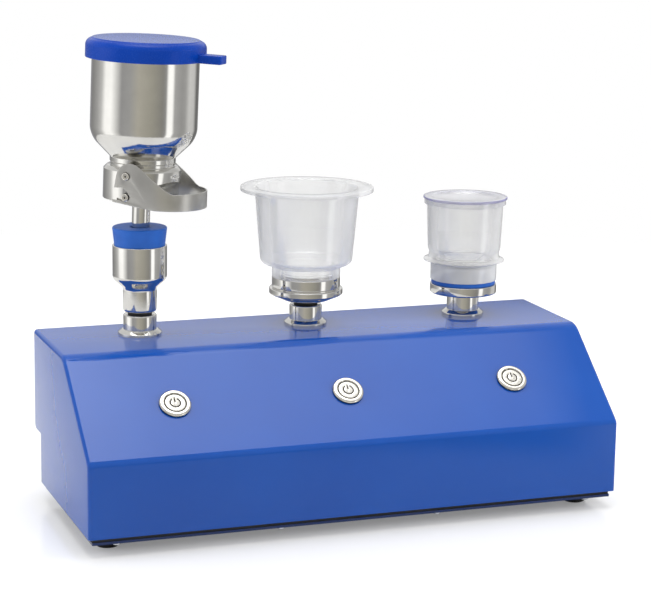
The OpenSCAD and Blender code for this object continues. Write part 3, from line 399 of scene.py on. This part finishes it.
# dark enamel of the sunk symbol, also painted shade on the cap's side walls
symbolEnamelAndWallShade = makePlain("symbolEnamelAndWallShade", {
    "dark": (0.030, 0.025, 0.022), "light": (0.045, 0.038, 0.034), "smooth": 0.5, "rough": 0.65,
    "depth": 0.000002, "constants": {"Specular IOR Level": 0.1}})
frostedPlastic = makeSeeThrough("frostedPlastic", {
    "dark": (0.79, 0.79, 0.79), "light": (0.85, 0.85, 0.85), "smooth": 0.13, "rough": 0.17, "blend": 0.45,
    "thin": 0.15, "thick": 0.68, "cloud": 0.04, "gloss": (0.07, 0.12), "grainScale": 300,
    "depth": 0.000002})
clearPlastic = makeSeeThrough("clearPlastic", {
    "dark": (0.66, 0.66, 0.69), "light": (0.72, 0.72, 0.75), "smooth": 0.05, "rough": 0.09, "blend": 0.40,
    "thin": 0.12, "thick": 0.80, "cloud": 0.02, "gloss": (0.03, 0.10), "grainScale": 200,
    "depth": 0.000002})
violetEdge = makeSeeThrough("violetEdge", {
    "dark": (0.17, 0.16, 0.43), "light": (0.21, 0.20, 0.48), "smooth": 0.05, "rough": 0.09, "blend": 0.40,
    "thin": 0.45, "thick": 0.90, "cloud": 0.02, "gloss": (0.03, 0.10), "grainScale": 200,
    "depth": 0.000002})
cloudyPlastic = makeSeeThrough("cloudyPlastic", {
    "dark": (0.90, 0.90, 0.89), "light": (0.95, 0.95, 0.94), "smooth": 0.08, "rough": 0.12, "blend": 0.40,
    "thin": 0.46, "thick": 0.80, "cloud": 0.02, "gloss": (0.05, 0.12), "grainScale": 300,
    "depth": 0.000002})
slotMaterials = {
    "paint": bluePaint, "polished_steel": polishedSteel, "satin_steel": satinSteel, "zinc": zincPlate,
    "black_rubber": blackRubber, "blue_rubber": blueRubber, "silicone": blueSilicone,
    "silicone_clear": clearSilicone, "frosted_plastic": frostedPlastic, "clear_plastic": clearPlastic,
    "membrane": membranePaper, "black_plastic": blackPlastic, "board": boardLaminate}
for subpart in frame["record"]["subparts"]:
    for materialSlot in frame["nodes"][subpart["node"]].material_slots:
        materialSlot.material = slotMaterials[subpart["material_slot"]]
# painted shade: the base plate takes the darker paint
frame["nodes"]["base_plate"].material_slots[0].material = shadedPlatePaint
print("materials mixed")


# the folded shell; all its sizes are in millimetres
housingSettings = {
    "frontHeight": 56, "slopeRun": 77.2, "recessHeight": 37, "recessIn": 20, "sheet": 1.5,
    "frontFold": 6.0, "deckFold": 18, "backFold": 4.0, "overhangFold": 6, "foldSteps": 10,
    "endRound": 3.0, "endSteps": 6, "creaseAngle": 28,
    "buttonAlong": 47.8, "holeSquare": 13, "holeRadius": 10.95, "holeCuts": 9, "holeInset": 1.0}


def faceAround(bm, middle, outward):
    # the face of the slope that holds this point
    bm.normal_update()
    for face in bm.faces:
        xs, zs = [v.co.x for v in face.verts], [v.co.z for v in face.verts]
        if (abs(face.normal.dot(outward)) > 0.9999 and min(xs) < middle.x < max(xs)
                and min(zs) < middle.z < max(zs)):
            return face


def cutButtonHole(bm, slope, number):
    # a square is parted off around the button, and its inset middle is drawn out to a circle and opened
    sizes = housingSettings
    outward = Vector((0, -math.sin(slope), math.cos(slope)))
    along = Vector((0, math.cos(slope), math.sin(slope)))
    low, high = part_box(f"button_cap_{number}")
    middle = Vector((0, 0, sizes["frontHeight"])) + along * sizes["buttonAlong"]
    middle.x = (low.x + high.x) / 2 / mm
    for axis in (Vector((1, 0, 0)), along):
        for side in (-sizes["holeSquare"], sizes["holeSquare"]):
            face = faceAround(bm, middle, outward)
            bmesh.ops.bisect_plane(bm, geom=[face, *face.edges, *face.verts], dist=1e-4,
                                   plane_co=middle + axis * side, plane_no=axis)
    square = faceAround(bm, middle, outward)
    bmesh.ops.subdivide_edges(bm, edges=list(square.edges), cuts=sizes["holeCuts"])
    face = faceAround(bm, middle, outward)
    bmesh.ops.inset_individual(bm, faces=[face], thickness=sizes["holeInset"])
    for vertex in face.verts:
        vertex.co = middle + (vertex.co - middle).normalized() * sizes["holeRadius"]
    bmesh.ops.delete(bm, geom=[face], context="FACES_ONLY")


def makeHousing():
    sizes = housingSettings
    low, high = (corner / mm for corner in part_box("housing"))
    depth, height = high.y - low.y, high.z - low.z
    baseDepth = depth - sizes["recessIn"]
    outline = [(0, 0), (0, sizes["frontHeight"]), (sizes["slopeRun"], height), (depth, height),
               (depth, sizes["recessHeight"]), (baseDepth, sizes["recessHeight"]), (baseDepth, 0)]
    bm = bmesh.new()
    side = bm.faces.new([bm.verts.new((low.x, y, z)) for y, z in outline])
    grown = bmesh.ops.extrude_face_region(bm, geom=[side])["geom"]
    bmesh.ops.translate(bm, vec=(high.x - low.x, 0, 0), verts=vertsOf(grown))
    bmesh.ops.recalc_face_normals(bm, faces=bm.faces)
    underside = [f for f in bm.faces if f.normal.z < -0.9 and f.calc_center_median().z < 1]
    bmesh.ops.delete(bm, geom=underside, context="FACES")

    def foldLine(y, z):
        # the edge that runs the whole length of the housing through this corner of the outline
        return [e for e in bm.edges
                if all(abs(v.co.y - y) < 0.01 and abs(v.co.z - z) < 0.01 for v in e.verts)
                and e.calc_length() > 100]

    slope = math.atan2(height - sizes["frontHeight"], sizes["slopeRun"])
    folds = [(0, sizes["frontHeight"], sizes["frontFold"] * math.tan((math.pi / 2 - slope) / 2)),
             (sizes["slopeRun"], height, sizes["deckFold"] * math.tan(slope / 2)),
             (depth, height, sizes["backFold"]), (depth, sizes["recessHeight"], sizes["overhangFold"])]
    for y, z, offset in folds:
        bmesh.ops.bevel(bm, geom=foldLine(y, z), affect="EDGES", offset=offset, offset_type="OFFSET",
                        segments=sizes["foldSteps"], profile=0.5, material=-1, clamp_overlap=False)

    def atAnEnd(edge):
        first, second = (v.co.x for v in edge.verts)
        return abs(first - second) < 0.01 and min(abs(first - low.x), abs(first - high.x)) < 0.01

    ends = [e for e in bm.edges if len(e.link_faces) == 2 and atAnEnd(e)]
    bmesh.ops.bevel(bm, geom=ends, affect="EDGES", offset=sizes["endRound"], offset_type="OFFSET",
                    segments=sizes["endSteps"], profile=0.5, material=-1, clamp_overlap=False)
    for number in (1, 2, 3):
        cutButtonHole(bm, slope, number)
    piece = finishMesh(bm, "housingShell", sizes["creaseAngle"])
    wall = piece.modifiers.new("sheet", "SOLIDIFY")
    wall.thickness, wall.offset = sizes["sheet"] * mm, -1
    place = Matrix.Translation((0, low.y * mm, low.z * mm)) @ Matrix.Scale(mm, 4)
    placePiece(piece, place, "unit", "paint", bluePaint, "housing")


makeHousing()
print("housing folded")


# heights in the turned profiles are above the deck
postCorners = [(0, -8), (9, -8), (9, 0), (12.9, 0), (12.9, 16, 1.2), (0, 16)]
collarCorners = [(12.95, 0), (16.9, 0), (16.9, 2.0, 0.35), (13.7, 4.4, 0.45), (12.95, 4.4)]
sealCorners = [(8.1, 16), (9.3, 16), (9.6, 17, 0.4), (9.3, 18), (8.1, 18)]
for number in (1, 2, 3):
    place = stationPlace(number)
    turnedPiece(f"post{number}", postCorners, place, "polished_steel", polishedSteel, f"post_{number}")
    turnedPiece(f"collar{number}", collarCorners, place, "polished_steel", polishedSteel,
                f"collar_{number}")
for number in (1, 2, 3):
    turnedPiece(f"postSeal{number}", sealCorners, stationPlace(number), "black_rubber",
                                  blackRubber, steps=64)
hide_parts("post_seals")
print("posts turned")


holderCorners = [(0, 18), (13.1, 18, 2.4, 6), (13.1, 37, 2.0, 6), (20.9, 44, 2.5, 6), (20.9, 70, 0.6),
                 (19.56, 70, 0.3), (17.28, 50), (0, 50)]
stopperCorners = [(0, 50.1), (17.15, 50.1, 1.0), (21.1, 84, 1.2, 6), (7.6, 84, 0.5), (6.95, 82.5),
                  (0, 82.5)]
baseCorners = [(0, 60), (6.9, 60), (6.9, 101.6, 3), (14.9, 109.6, 3), (28.3, 109.6, 1.2), (28.3, 124),
               (0, 124)]
funnelCorners = [(20.3, 125.7), (26.5, 125.7), (26.5, 128.7), (24.5, 128.7), (24.5, 134.25, 0.2),
                 (25.1, 134.85, 0.2), (25.1, 138.15, 0.2), (25.6, 138.75, 0.2), (40.7, 153.85, 7.456, 14),
                 (40.7, 218.23, 0.4), (42.8, 219.03, 1.0), (42.8, 221.8, 1.4), (39.5, 221.8, 0.4),
                 (39.5, 154.35, 6.96, 12), (20.3, 135.15, 0.5)]
turnedPiece("holderCup", holderCorners, stationPlace(1), "polished_steel", polishedSteel, "holder_cup")
turnedPiece("stopper", stopperCorners, stationPlace(1), "blue_rubber", blueRubber, "stopper")
turnedPiece("filterBase", baseCorners, leanPlace, "polished_steel", polishedSteel, "filter_base")
turnedPiece("steelFunnel", funnelCorners, leanPlace, "satin_steel", satinSteel, "steel_funnel", steps=144)


lidCorners = [(0, 227.8), (40.4, 227.8, 0.5), (41.6, 226.9, 0.5), (45.7, 225.6, 3.8, 8),
              (45.7, 212.61, 0.6), (43.1, 212.61, 0.3), (43.1, 221.4), (42.5, 221.86), (0, 221.86)]
lidSettings = {"foot": 212.61, "top": 227.8, "tabRoot": 43.9, "tabReach": 63, "tabWidth": 14,
               "tabThick": 6.4, "tabRound": 2.2, "tabEdge": 0.8}


def makeLid():
    # the lid with its pull tab; the flat top takes a paler, greyer blue, a painted reflection of the glare on it
    sizes = lidSettings
    bm = bmesh.new()
    lathe(bm, lidCorners, 144)
    old = set(bm.verts)
    root, reach, half = sizes["tabRoot"], sizes["tabReach"], sizes["tabWidth"] / 2
    plan = [(root, -half), (reach, -half), (reach, half), (root, half)]
    tab = bm.faces.new([bm.verts.new((x, y, sizes["foot"])) for x, y in plan])
    grown = bmesh.ops.extrude_face_region(bm, geom=[tab])["geom"]
    bmesh.ops.translate(bm, vec=(0, 0, sizes["tabThick"]), verts=vertsOf(grown))
    upright = [e for e in edgesAt(vertsSince(bm, old))
               if abs(e.verts[0].co.z - e.verts[1].co.z) > 1 and e.verts[0].co.x > reach - 3]
    bmesh.ops.bevel(bm, geom=upright, affect="EDGES", offset=sizes["tabRound"], segments=5, profile=0.5,
                    material=-1)
    rims = [e for e in edgesAt(vertsSince(bm, old)) if abs(e.verts[0].co.z - e.verts[1].co.z) < 0.01
            and max(v.co.x for v in e.verts) > root + 0.1]
    bmesh.ops.bevel(bm, geom=rims, affect="EDGES", offset=sizes["tabEdge"], segments=3, profile=0.5,
                    material=-1)
    bmesh.ops.transform(bm, matrix=turn(leanSettings["lever"], "Z"), verts=vertsSince(bm, old))
    piece = finishMesh(bm, "funnelLid")
    # painted glare: the faces of the flat top get the paler silicone
    for face in piece.data.polygons:
        face.material_index = int(face.center.z > sizes["top"] - 0.1)
    placePiece(piece, leanPlace @ Matrix.Scale(mm, 4), "unit", "silicone", blueSilicone, "funnel_lid")
    piece.data.materials.append(glareTopSilicone)


makeLid()
softenedCopy("lockingRing", "locking_ring", 0.25, "polished_steel", polishedSteel)
softenedCopy("lever", "lever", 0.28, "satin_steel", flatSteel, "lever", 3)


# "inner" to "outer" is a pin's reach from the funnel's axis; its head sits on the lever's cheek
pinSettings = {"inner": 26.6, "cheek": 30, "under": 31.35, "outer": 32.7,
               "dimple": 1.1, "dimpleFoot": 0.7, "dimpleFloor": 32.0,
               "kinds": {"pivotPins": {"node": "pivot_pins", "height": 126.5, "shank": 2.0, "head": 3.0},
                         "lockPins": {"node": "lock_pins", "height": 110.6, "shank": 2.9, "head": 2.9}}}


def makePins():
    sizes = pinSettings
    inner, cheek, under, outer = (sizes[key] for key in ("inner", "cheek", "under", "outer"))
    for name, kind in sizes["kinds"].items():
        shank, head = kind["shank"], kind["head"]
        corners = [(0, inner), (shank * 0.9, inner), (shank, cheek), (shank, under), (head, under),
                   (head, outer, 0.8), (sizes["dimple"], outer, 0.2),
                   (sizes["dimpleFoot"], sizes["dimpleFloor"]), (0, sizes["dimpleFloor"])]
        bm = bmesh.new()
        for side in (0, 180):
            old = set(bm.verts)
            lathe(bm, corners, 48)
            lay = turn(side, "Z") @ Matrix.Translation((0, 0, kind["height"])) @ turn(90, "X")
            bmesh.ops.transform(bm, matrix=lay, verts=vertsSince(bm, old))
        piece = finishMesh(bm, name)
        # painted shade: the side of the head and the floor of its dimple take the dark shadow steel
        for face in piece.data.polygons:
            across = Vector((face.center.x, face.center.z - kind["height"])).length
            onHeadSide = abs(face.normal.y) < 0.3 and across > head - 0.3
            face.material_index = int(onHeadSide or across < 0.8)
        placePiece(piece, leverPlace @ Matrix.Scale(mm, 4), "unit", "polished_steel", bezelSteel,
                   kind["node"])
        piece.data.materials.append(shadowSteel)


makePins()
print("station 1 dressed")


headTwoCorners = [(0, 18), (11.9, 18), (18.9, 20, 1), (28.6, 24.5, 1), (29.1, 25.3, 0.3), (29.1, 29.4, 0.8),
                  (26.6, 29.4, 0.2), (26.6, 30.2, 0.2), (27, 30.8, 0.2), (27, 38.4, 0.4), (23.5, 38.4),
                  (23.5, 40.4, 0.3), (21.2, 40.4), (21.2, 38), (0, 38)]
plasticFunnelCorners = [(23.6, 38.45), (27, 38.45, 0.4), (27, 46.65, 0.6), (36.1, 49.9, 3.1, 8),
                        (40.9, 106.75, 1.2), (42, 108.7, 0.3), (51.4, 108.7, 0.3), (51.6, 106.75, 0.2),
                        (52.2, 106.75, 0.2), (52.2, 109.95, 0.7), (39.6, 109.95, 1.2), (34.9, 51.2, 2.4, 6),
                        (23.6, 47.85, 0.5), (23.6, 41.85), (21.2, 41.85), (21.2, 40.65), (23.6, 40.65)]
turnedPiece("headTwo", headTwoCorners, stationPlace(2), "polished_steel", polishedSteel, "head_2")
turnedPiece("plasticFunnel", plasticFunnelCorners, stationPlace(2), "frosted_plastic", frostedPlastic,
            "plastic_funnel", steps=144)
print("station 2 dressed")


headThreeCorners = [(0, 18), (26.9, 18, 1.2), (26.9, 25.5, 0.6), (5.6, 25.5, 0.4), (5.6, 36.5, 0.6),
                    (0, 36.5)]
blueSealCorners = [(20.9, 25.5), (25.9, 25.5, 0.8), (25.9, 29, 0.8), (20.9, 29)]
clearBaseCorners = [(5.65, 29), (7.2, 29, 0.2), (7.2, 40.6, 0.4), (25.1, 40.6, 0.4), (25.1, 29, 0.2),
                    (26.7, 29, 0.3), (26.7, 43, 0.5), (24.7, 43), (24.7, 46), (23.55, 46), (23.55, 45),
                    (20.5, 45), (3, 42), (3, 37.1), (5.65, 37.1)]
sampleCupCorners = [(24.75, 43.05), (28.0, 43.05, 0.4), (28.6, 43.9, 0.5), (32.6, 44.7, 0.3),
                    (32.6, 45.6, 0.3), (28.6, 46.7, 0.8), (28.3, 52, 0.4), (29.3, 54.9, 1.4),
                    (30.9, 95, 0.3), (29.7, 95, 0.3), (28.1, 54.9, 1.5), (24.1, 47.45, 0.5), (21, 47.45),
                    (21, 46.25), (24.75, 46.25)]
cupLidCorners = [(31.2, 90.65), (32.8, 90.65, 0.3), (32.8, 94.6, 0.3), (33.8, 95.05, 0.3),
                 (33.8, 96.65, 0.6), (26.8, 96.65, 0.5), (24.8, 94.45, 0.6), (0, 94.45), (0, 93.25),
                 (23.8, 93.25, 0.4), (25.8, 95.05, 0.4), (31.2, 95.05)]
cupLidRim = 33.05  # faces further out than this have the violet edge
turnedPiece("headThree", headThreeCorners, stationPlace(3), "polished_steel", polishedSteel, "head_3")
turnedPiece("blueSeal", blueSealCorners, stationPlace(3), "blue_rubber", blueRubber, "head_seal")
turnedPiece("clearBase", clearBaseCorners, stationPlace(3), "clear_plastic", cloudyPlastic, "cup_base")
turnedPiece("sampleCup", sampleCupCorners, stationPlace(3), "frosted_plastic", frostedPlastic, "sample_cup")
cupLid = turnedPiece("cupLid", cupLidCorners, Matrix.Identity(4), "clear_plastic", clearPlastic, "cup_lid")
cupLid.data.materials.append(violetEdge)
for face in cupLid.data.polygons:
    face.material_index = int(face.center.to_2d().length > cupLidRim * mm)
cupLid.data.transform(stationPlace(3))
print("station 3 dressed")


# heights in this profile are above the slope, along its normal
bezelCorners = [(3.08, -18), (10.9, -18), (10.9, 0.5), (12, 0.5), (12, 1.5, 0.1), (11.2, 2.6, 0.7, 5),
                (9.0, 2.7, 0.3), (8.4, 2.1, 0.1), (8.4, -3.8), (3.08, -3.8)]
buttonSettings = {"capTop": 2.3, "capEdge": 0.12, "symbolDepth": 0.3,
                  "bezelRim": 11.7, "bezelBore": (8, 9.2)}


def shadeBezel(bezel):
    # painted shade: the outer wall and the bore take the dark shadow steel
    boreIn, boreOut = buttonSettings["bezelBore"]
    bezel.data.materials.append(shadowSteel)
    for face in bezel.data.polygons:
        across = face.center.to_2d().length / mm
        walled = across > buttonSettings["bezelRim"] or boreIn < across < boreOut
        face.material_index = int(walled and face.normal.to_2d().length > 0.95)


def shadeCap(cap, place):
    # enamel on the floor of the sunk symbol, and the same dark as painted shade on every side wall
    floor = buttonSettings["capTop"] - buttonSettings["symbolDepth"]
    back = place.inverted()
    cap.data.materials.append(symbolEnamelAndWallShade)
    for face in cap.data.polygons:
        rise = abs((back.to_3x3() @ face.normal).z)
        onFloor = abs((back @ face.center).z / mm - floor) < 0.08
        face.material_index = int(rise < 0.3 or onFloor and rise > 0.9)


def makeButtons():
    inward = Vector(next(j for j in frame["joints"] if j["name"] == "button_press_1")["axis"])
    tilt = math.degrees(math.atan2(inward.y, -inward.z))
    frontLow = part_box("housing")[0]
    slopeFoot = Vector((0, frontLow.y, frontLow.z + housingSettings["frontHeight"] * mm))
    along = Vector((0, math.cos(math.radians(tilt)), math.sin(math.radians(tilt))))
    for number in (1, 2, 3):
        low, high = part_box(f"button_cap_{number}")
        spot = slopeFoot + along * housingSettings["buttonAlong"] * mm
        spot.x = (low.x + high.x) / 2
        place = Matrix.Translation(spot) @ turn(tilt, "X")
        bezel = turnedPiece(f"bezel{number}", bezelCorners, Matrix.Identity(4), "polished_steel",
                            bezelSteel, f"button_body_{number}", steps=80)
        shadeBezel(bezel)
        bezel.data.transform(place)
        cap = softenedCopy(f"buttonCap{number}", f"button_cap_{number}", buttonSettings["capEdge"],
                           "satin_steel", pearlSteel, f"button_{number}")
        shadeCap(cap, place)


makeButtons()
print("buttons fitted")


# lengths are in metres; the floor fades to white between two shares of its size
studioSettings = {
    "ambient": 0.54, "panelGlow": 1.4,
    "floorSize": 1.3, "floorShade": 0.80, "floorRough": (0.10, 0.14), "floorSpecular": 0.35,
    "liftNear": (0.32, 0.22), "liftFar": (0.55, 0.45), "whiteFrom": 0.55, "whiteTo": 0.95,
    "tableMiddle": (-0.16, 0.16), "tableReach": 0.60, "tableBlur": 0.08,
    "cardMiddle": (-0.42, 0.42), "cardFade": (0.42, 0.294), "cardGlow": 0.05}

# what polished surfaces see round the horizon: a share of the turn and the colour there; it runs from the
# back by the left at 0.25, the front at 0.5 and the right at 0.75, and the camera stands at 0.44
lowPanels = [
    (0.0, (0.24, 0.24, 0.26)), (0.05, (0.20,) * 3), (0.088, (0.26,) * 3), (0.13, (0.35,) * 3),
    (0.168, (0.50,) * 3), (0.20, (0.95,) * 3), (0.245, (1.0,) * 3), (0.282, (0.62,) * 3),
    (0.315, (0.28, 0.28, 0.285)), (0.37, (0.31,) * 3), (0.42, (0.38, 0.365, 0.32)),
    (0.50, (0.31, 0.30, 0.26)), (0.565, (0.22, 0.215, 0.20)), (0.588, (0.25,) * 3), (0.60, (1.0,) * 3),
    (0.63, (1.0,) * 3), (0.645, (0.36,) * 3), (0.70, (0.29,) * 3), (0.73, (0.32,) * 3), (0.77, (0.55,) * 3),
    (0.82, (0.50,) * 3), (0.86, (0.12,) * 3), (0.94, (0.18,) * 3), (1.0, (0.24, 0.24, 0.26))]
highPanels = [(0.0, (0.54,) * 3), (0.12, (0.54,) * 3), (0.2, (0.50,) * 3), (0.85, (0.43,) * 3),
              (0.92, (0.62,) * 3), (0.98, (0.62,) * 3)]
whiteColour = (1, 1, 1, 1)


def makeFloor():
    # reflections see the table only as far as its edge, and a faint card that lies behind the left end
    look = studioSettings
    bm = bmesh.new()
    bmesh.ops.create_circle(bm, cap_ends=True, segments=96, radius=look["floorSize"])
    mesh = bpy.data.meshes.new("floor")
    bm.to_mesh(mesh)
    bm.free()
    floor = bpy.data.objects.new("floor", mesh)
    scene.collection.objects.link(floor)
    material = startMaterial("paleFloor")

    def away(middle):
        point = objectPoint(location=(-middle[0], -middle[1], 0))
        return Wire.node("VectorMath", {"operation": "LENGTH"}, {0: point}, "Value")

    camera = Wire.node("LightPath", {}, {}, "Is Camera Ray")
    glossy = Wire.node("LightPath", {}, {}, "Is Glossy Ray")
    grain = noise(objectPoint(), scale=900)
    plain = Wire.node("BsdfPrincipled", {}, {
        "Base Color": (*(look["floorShade"],) * 3, 1), "Specular IOR Level": look["floorSpecular"],
        "Roughness": between(grain, 0.3, 0.7, *look["floorRough"])})
    (nearReach, nearLift), (farReach, farLift) = look["liftNear"], look["liftFar"]
    lift = between(away((0, 0)), nearReach, farReach, nearLift, farLift)
    card = between(away(look["cardMiddle"]), *look["cardFade"])
    glow = camera * lift + glossy * card * look["cardGlow"]
    shine = Wire.node("Emission", {}, {"Color": whiteColour, "Strength": glow})
    near = Wire.node("AddShader", {}, {0: plain, 1: shine})
    white = Wire.node("Emission", {}, {"Color": whiteColour, "Strength": 1.0})
    edge = between(away((0, 0)), look["floorSize"] * look["whiteFrom"], look["floorSize"] * look["whiteTo"])
    whole = Wire.node("MixShader", {}, {0: edge, 1: near, 2: white})
    inside, outside = (look["tableReach"] * (1 + blur) for blur in (-look["tableBlur"], look["tableBlur"]))
    beyond = glossy * between(away(look["tableMiddle"]), inside, outside)
    through = Wire.node("BsdfTransparent", {}, {})
    outputTo(Wire.node("MixShader", {}, {0: beyond, 1: whole, 2: through}))
    floor.data.materials.append(material)


def makeWorld():
    # white behind the object; glossy surfaces also see the bright and grey panels of a studio
    look = studioSettings
    world = bpy.data.worlds.new("studio")
    scene.world = world
    world.use_nodes = True
    Wire.tree = world.node_tree
    world.node_tree.nodes.clear()
    direction = Wire.node("TexCoord", {}, {}, "Generated")
    x, y, z = (Wire.node("SeparateXYZ", {}, {0: direction}, axis) for axis in "XYZ")
    share = Wire.calculate("ARCTAN2", x, y * -1.0) / (2 * math.pi) + 0.5
    low = Wire.node("ValToRGB", {"stops": lowPanels}, {"Fac": share})
    high = Wire.node("ValToRGB", {"stops": highPanels}, {"Fac": share})
    horizon = [(0.0, (0, 0, 0)), (0.53, (0, 0, 0)), (0.60, (1, 1, 1))]
    height = Wire.node("ValToRGB", {"stops": horizon}, {"Fac": z * 0.5 + 0.5})
    panels = Wire.node("Mix", {"data_type": "RGBA"}, {0: height, 6: low, 7: high}, 2)
    camera, glossy, through = (Wire.node("LightPath", {}, {}, f"Is {kind} Ray")
                               for kind in ("Camera", "Glossy", "Transmission"))
    plain = Wire.node("Background", {}, {"Color": whiteColour, "Strength": look["ambient"]})
    shiny = Wire.node("Background", {}, {"Color": panels, "Strength": look["panelGlow"]})
    white = Wire.node("Background", {}, {"Color": whiteColour, "Strength": 1.0})
    mixed = Wire.node("MixShader", {}, {0: glossy, 1: plain, 2: shiny})
    clear = Wire.calculate("MAXIMUM", camera, through)
    final = Wire.node("MixShader", {}, {0: clear, 1: mixed, 2: white})
    output = world.node_tree.nodes.new("ShaderNodeOutputWorld")
    world.node_tree.links.new(final.socket, output.inputs["Surface"])


# metres and watts; only the overhead lamp shows in reflections
lampSettings = {
    "overhead": {"at": (0.25, 0.2, 1.50), "aim": (0.25, 0.2, 0), "size": (1.9, 1.2), "power": 4.0,
                 "spread": 62, "shines": True},
    "leftPanel": {"at": (-1.35, 0.15, 0.65), "aim": (0, 0, 0.14), "size": (0.9, 0.9), "power": 7.5,
                  "spread": 180, "shines": False},
    "rightPanel": {"at": (1.40, -0.55, 0.70), "aim": (0, 0, 0.14), "size": (0.5, 0.9), "power": 8,
                   "spread": 180, "shines": False},
    "frontFill": {"at": (0.3, -1.9, 1.2), "aim": (0, 0, 0.14), "size": (1.2, 0.8), "power": 8,
                  "spread": 180, "shines": False}}


def makeLamps():
    for name, lamp in lampSettings.items():
        data = bpy.data.lights.new(name, "AREA")
        data.shape, data.size, data.size_y = "RECTANGLE", *lamp["size"]
        data.energy, data.spread = lamp["power"], math.radians(lamp["spread"])
        light = bpy.data.objects.new(name, data)
        light.location, light.visible_glossy = lamp["at"], lamp["shines"]
        light.rotation_mode = "QUATERNION"
        light.rotation_quaternion = (Vector(lamp["aim"]) - Vector(lamp["at"])).to_track_quat("-Z", "Y")
        scene.collection.objects.link(light)


makeFloor()
makeWorld()
makeLamps()
scene.view_settings.view_transform = "Standard"
print("studio lit")
